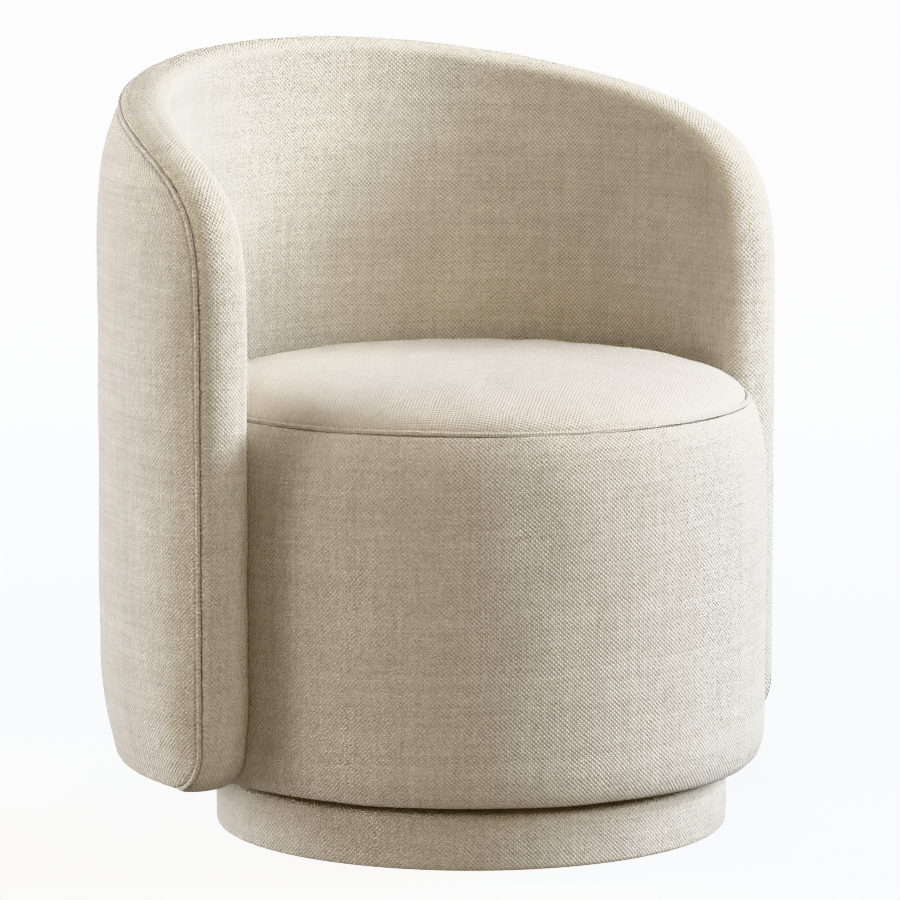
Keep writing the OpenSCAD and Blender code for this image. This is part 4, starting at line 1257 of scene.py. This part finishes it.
# ------------------------------------------------------- floor, light, view ----
def floor():
    m = material("studio_floor")
    k = Net(m.node_tree)
    p = object_coords(k)
    tone = k.noise(p, 2.0, 2.0, 0.5)
    colour = k.mix(tone, (0.58, 0.58, 0.58, 1), (0.62, 0.62, 0.62, 1))
    # lit from within, as a light table is, and more so away from the chair
    far = k.node("ShaderNodeVectorMath", operation="LENGTH")
    k.put(far.inputs[0], p)
    glow = k.ramp(far.outputs["Value"], 0.5, 3.2, 1.5, 3.2)
    k.finish(colour, None, Roughness=0.9, Specular_IOR_Level=0.1, Emission_Color=(1, 1, 1, 1), Emission_Strength=glow)
    # a wide round floor that sweeps up at its edge, so that every side is seen against it
    prof = [(0.0, 0.0), (1.0, 0.0), (4.0, 0.0), (9.0, 0.0), (16.0, 0.0)]
    prof += [(16.0 + 4.0 * math.sin(a), 4.0 - 4.0 * math.cos(a)) for a in np.linspace(0, PI / 2, 16)[1:]]
    prof += [(20.0, 14.0)]
    n = 96
    pts = [(0.0, 0.0, 0.0)]
    faces = []
    for r, z in prof[1:]:
        pts += [(r * math.sin(2 * PI * k / n), r * math.cos(2 * PI * k / n), z) for k in range(n)]
    for k in range(n):
        faces.append((0, 1 + (k + 1) % n, 1 + k))
    for j in range(len(prof) - 2):
        for k in range(n):
            a, b = 1 + j * n + k, 1 + j * n + (k + 1) % n
            faces.append((a, b, b + n, a + n))
    mesh = bpy.data.meshes.new("studio_floor")
    mesh.from_pydata(pts, [], faces)
    mesh.polygons.foreach_set("use_smooth", [True] * len(faces))
    mesh.materials.append(m)
    o = bpy.data.objects.new("studio_floor", mesh)
    bpy.context.scene.collection.objects.link(o)
    # the chair isn't lit by the floor, but by the lamps and by the world's lower half
    o.visible_diffuse = o.visible_glossy = o.visible_shadow = False


def lamp(name, place, target, size, power, tint=(1, 1, 1)):
    """An area light; place and target are given in viewer terms, right, away and up."""
    data = bpy.data.lights.new(name, "AREA")
    data.shape = "RECTANGLE"
    data.size, data.size_y = size
    data.energy = power
    data.color = tint
    o = bpy.data.objects.new(name, data)
    bpy.context.scene.collection.objects.link(o)
    ca, sa = math.cos(-ALPHA), math.sin(-ALPHA)
    turn = lambda q: Vector((q[0] * ca - q[1] * sa, q[0] * sa + q[1] * ca, q[2]))
    o.location = turn(place)
    o.rotation_euler = (turn(target) - turn(place)).to_track_quat("-Z", "Y").to_euler()
    return o


def softbox(name, azimuth, height, size, r, g, b):
    """A square lamp 3.6 m away: azimuth from the viewer towards the right, in degrees, and angle above the horizon."""
    a, e = math.radians(azimuth), math.radians(height)
    place = (3.6 * math.cos(e) * math.sin(a), -3.6 * math.cos(e) * math.cos(a), 0.4 + 3.6 * math.sin(e))
    top = max(r, g, b)
    return lamp(name, place, (0, 0.001, 0.4), (size, size), 100 * top * LEVEL, (r / top, g / top, b / top))


def studio_world():
    world = bpy.data.worlds.new("studio")
    bpy.context.scene.world = world
    world.use_nodes = True
    t = world.node_tree
    z = t.nodes.new("ShaderNodeSeparateXYZ")
    t.links.new(t.nodes.new("ShaderNodeTexCoord").outputs["Generated"], z.inputs[0])
    down = t.nodes.new("ShaderNodeMapRange")
    down.inputs["From Min"].default_value = 0.02
    down.inputs["From Max"].default_value = -0.04
    t.links.new(z.outputs["Z"], down.inputs["Value"])
    back = t.nodes["Background"]
    back.inputs["Color"].default_value = (0.244 * LEVEL, 0.222 * LEVEL, 0.196 * LEVEL, 1)
    t.links.new(down.outputs["Result"], back.inputs["Strength"])


floor()
LEVEL = 1.14
studio_world()
softbox("key_low", 90, 15, 0.7, 0.290, 0.310, 0.360)
softbox("key_high", 90, 25, 0.7, 0.470, 0.520, 0.600)
softbox("key_far", 105, 25, 0.7, 0.540, 0.592, 0.672)
softbox("key_near", 75, 15, 0.7, 0.320, 0.360, 0.404)
softbox("key_front", 60, 15, 0.7, 0.285, 0.290, 0.264)
softbox("back_right", 150, 45, 0.7, 0.314, 0.353, 0.399)
softbox("rim_left", -90, 8, 1.2, 0.560, 0.570, 0.545)
softbox("rim_back", -120, 8, 1.2, 0.515, 0.589, 0.778)
softbox("fill_left", -90, 35, 1.2, 0.140, 0.130, 0.110)
softbox("low_left", -80, -6, 1.2, 0.270, 0.258, 0.238)
softbox("front", 0, 8, 1.2, 0.345, 0.290, 0.222)
lamp("top", (0, 0, 4.0), (0, 0.001, 0.4), (1.0, 1.0), 47.0 * LEVEL, (1.0, 0.90, 0.74))
bpy.context.scene.view_settings.view_transform = "Khronos PBR Neutral"
bpy.context.scene.view_settings.look = "None"
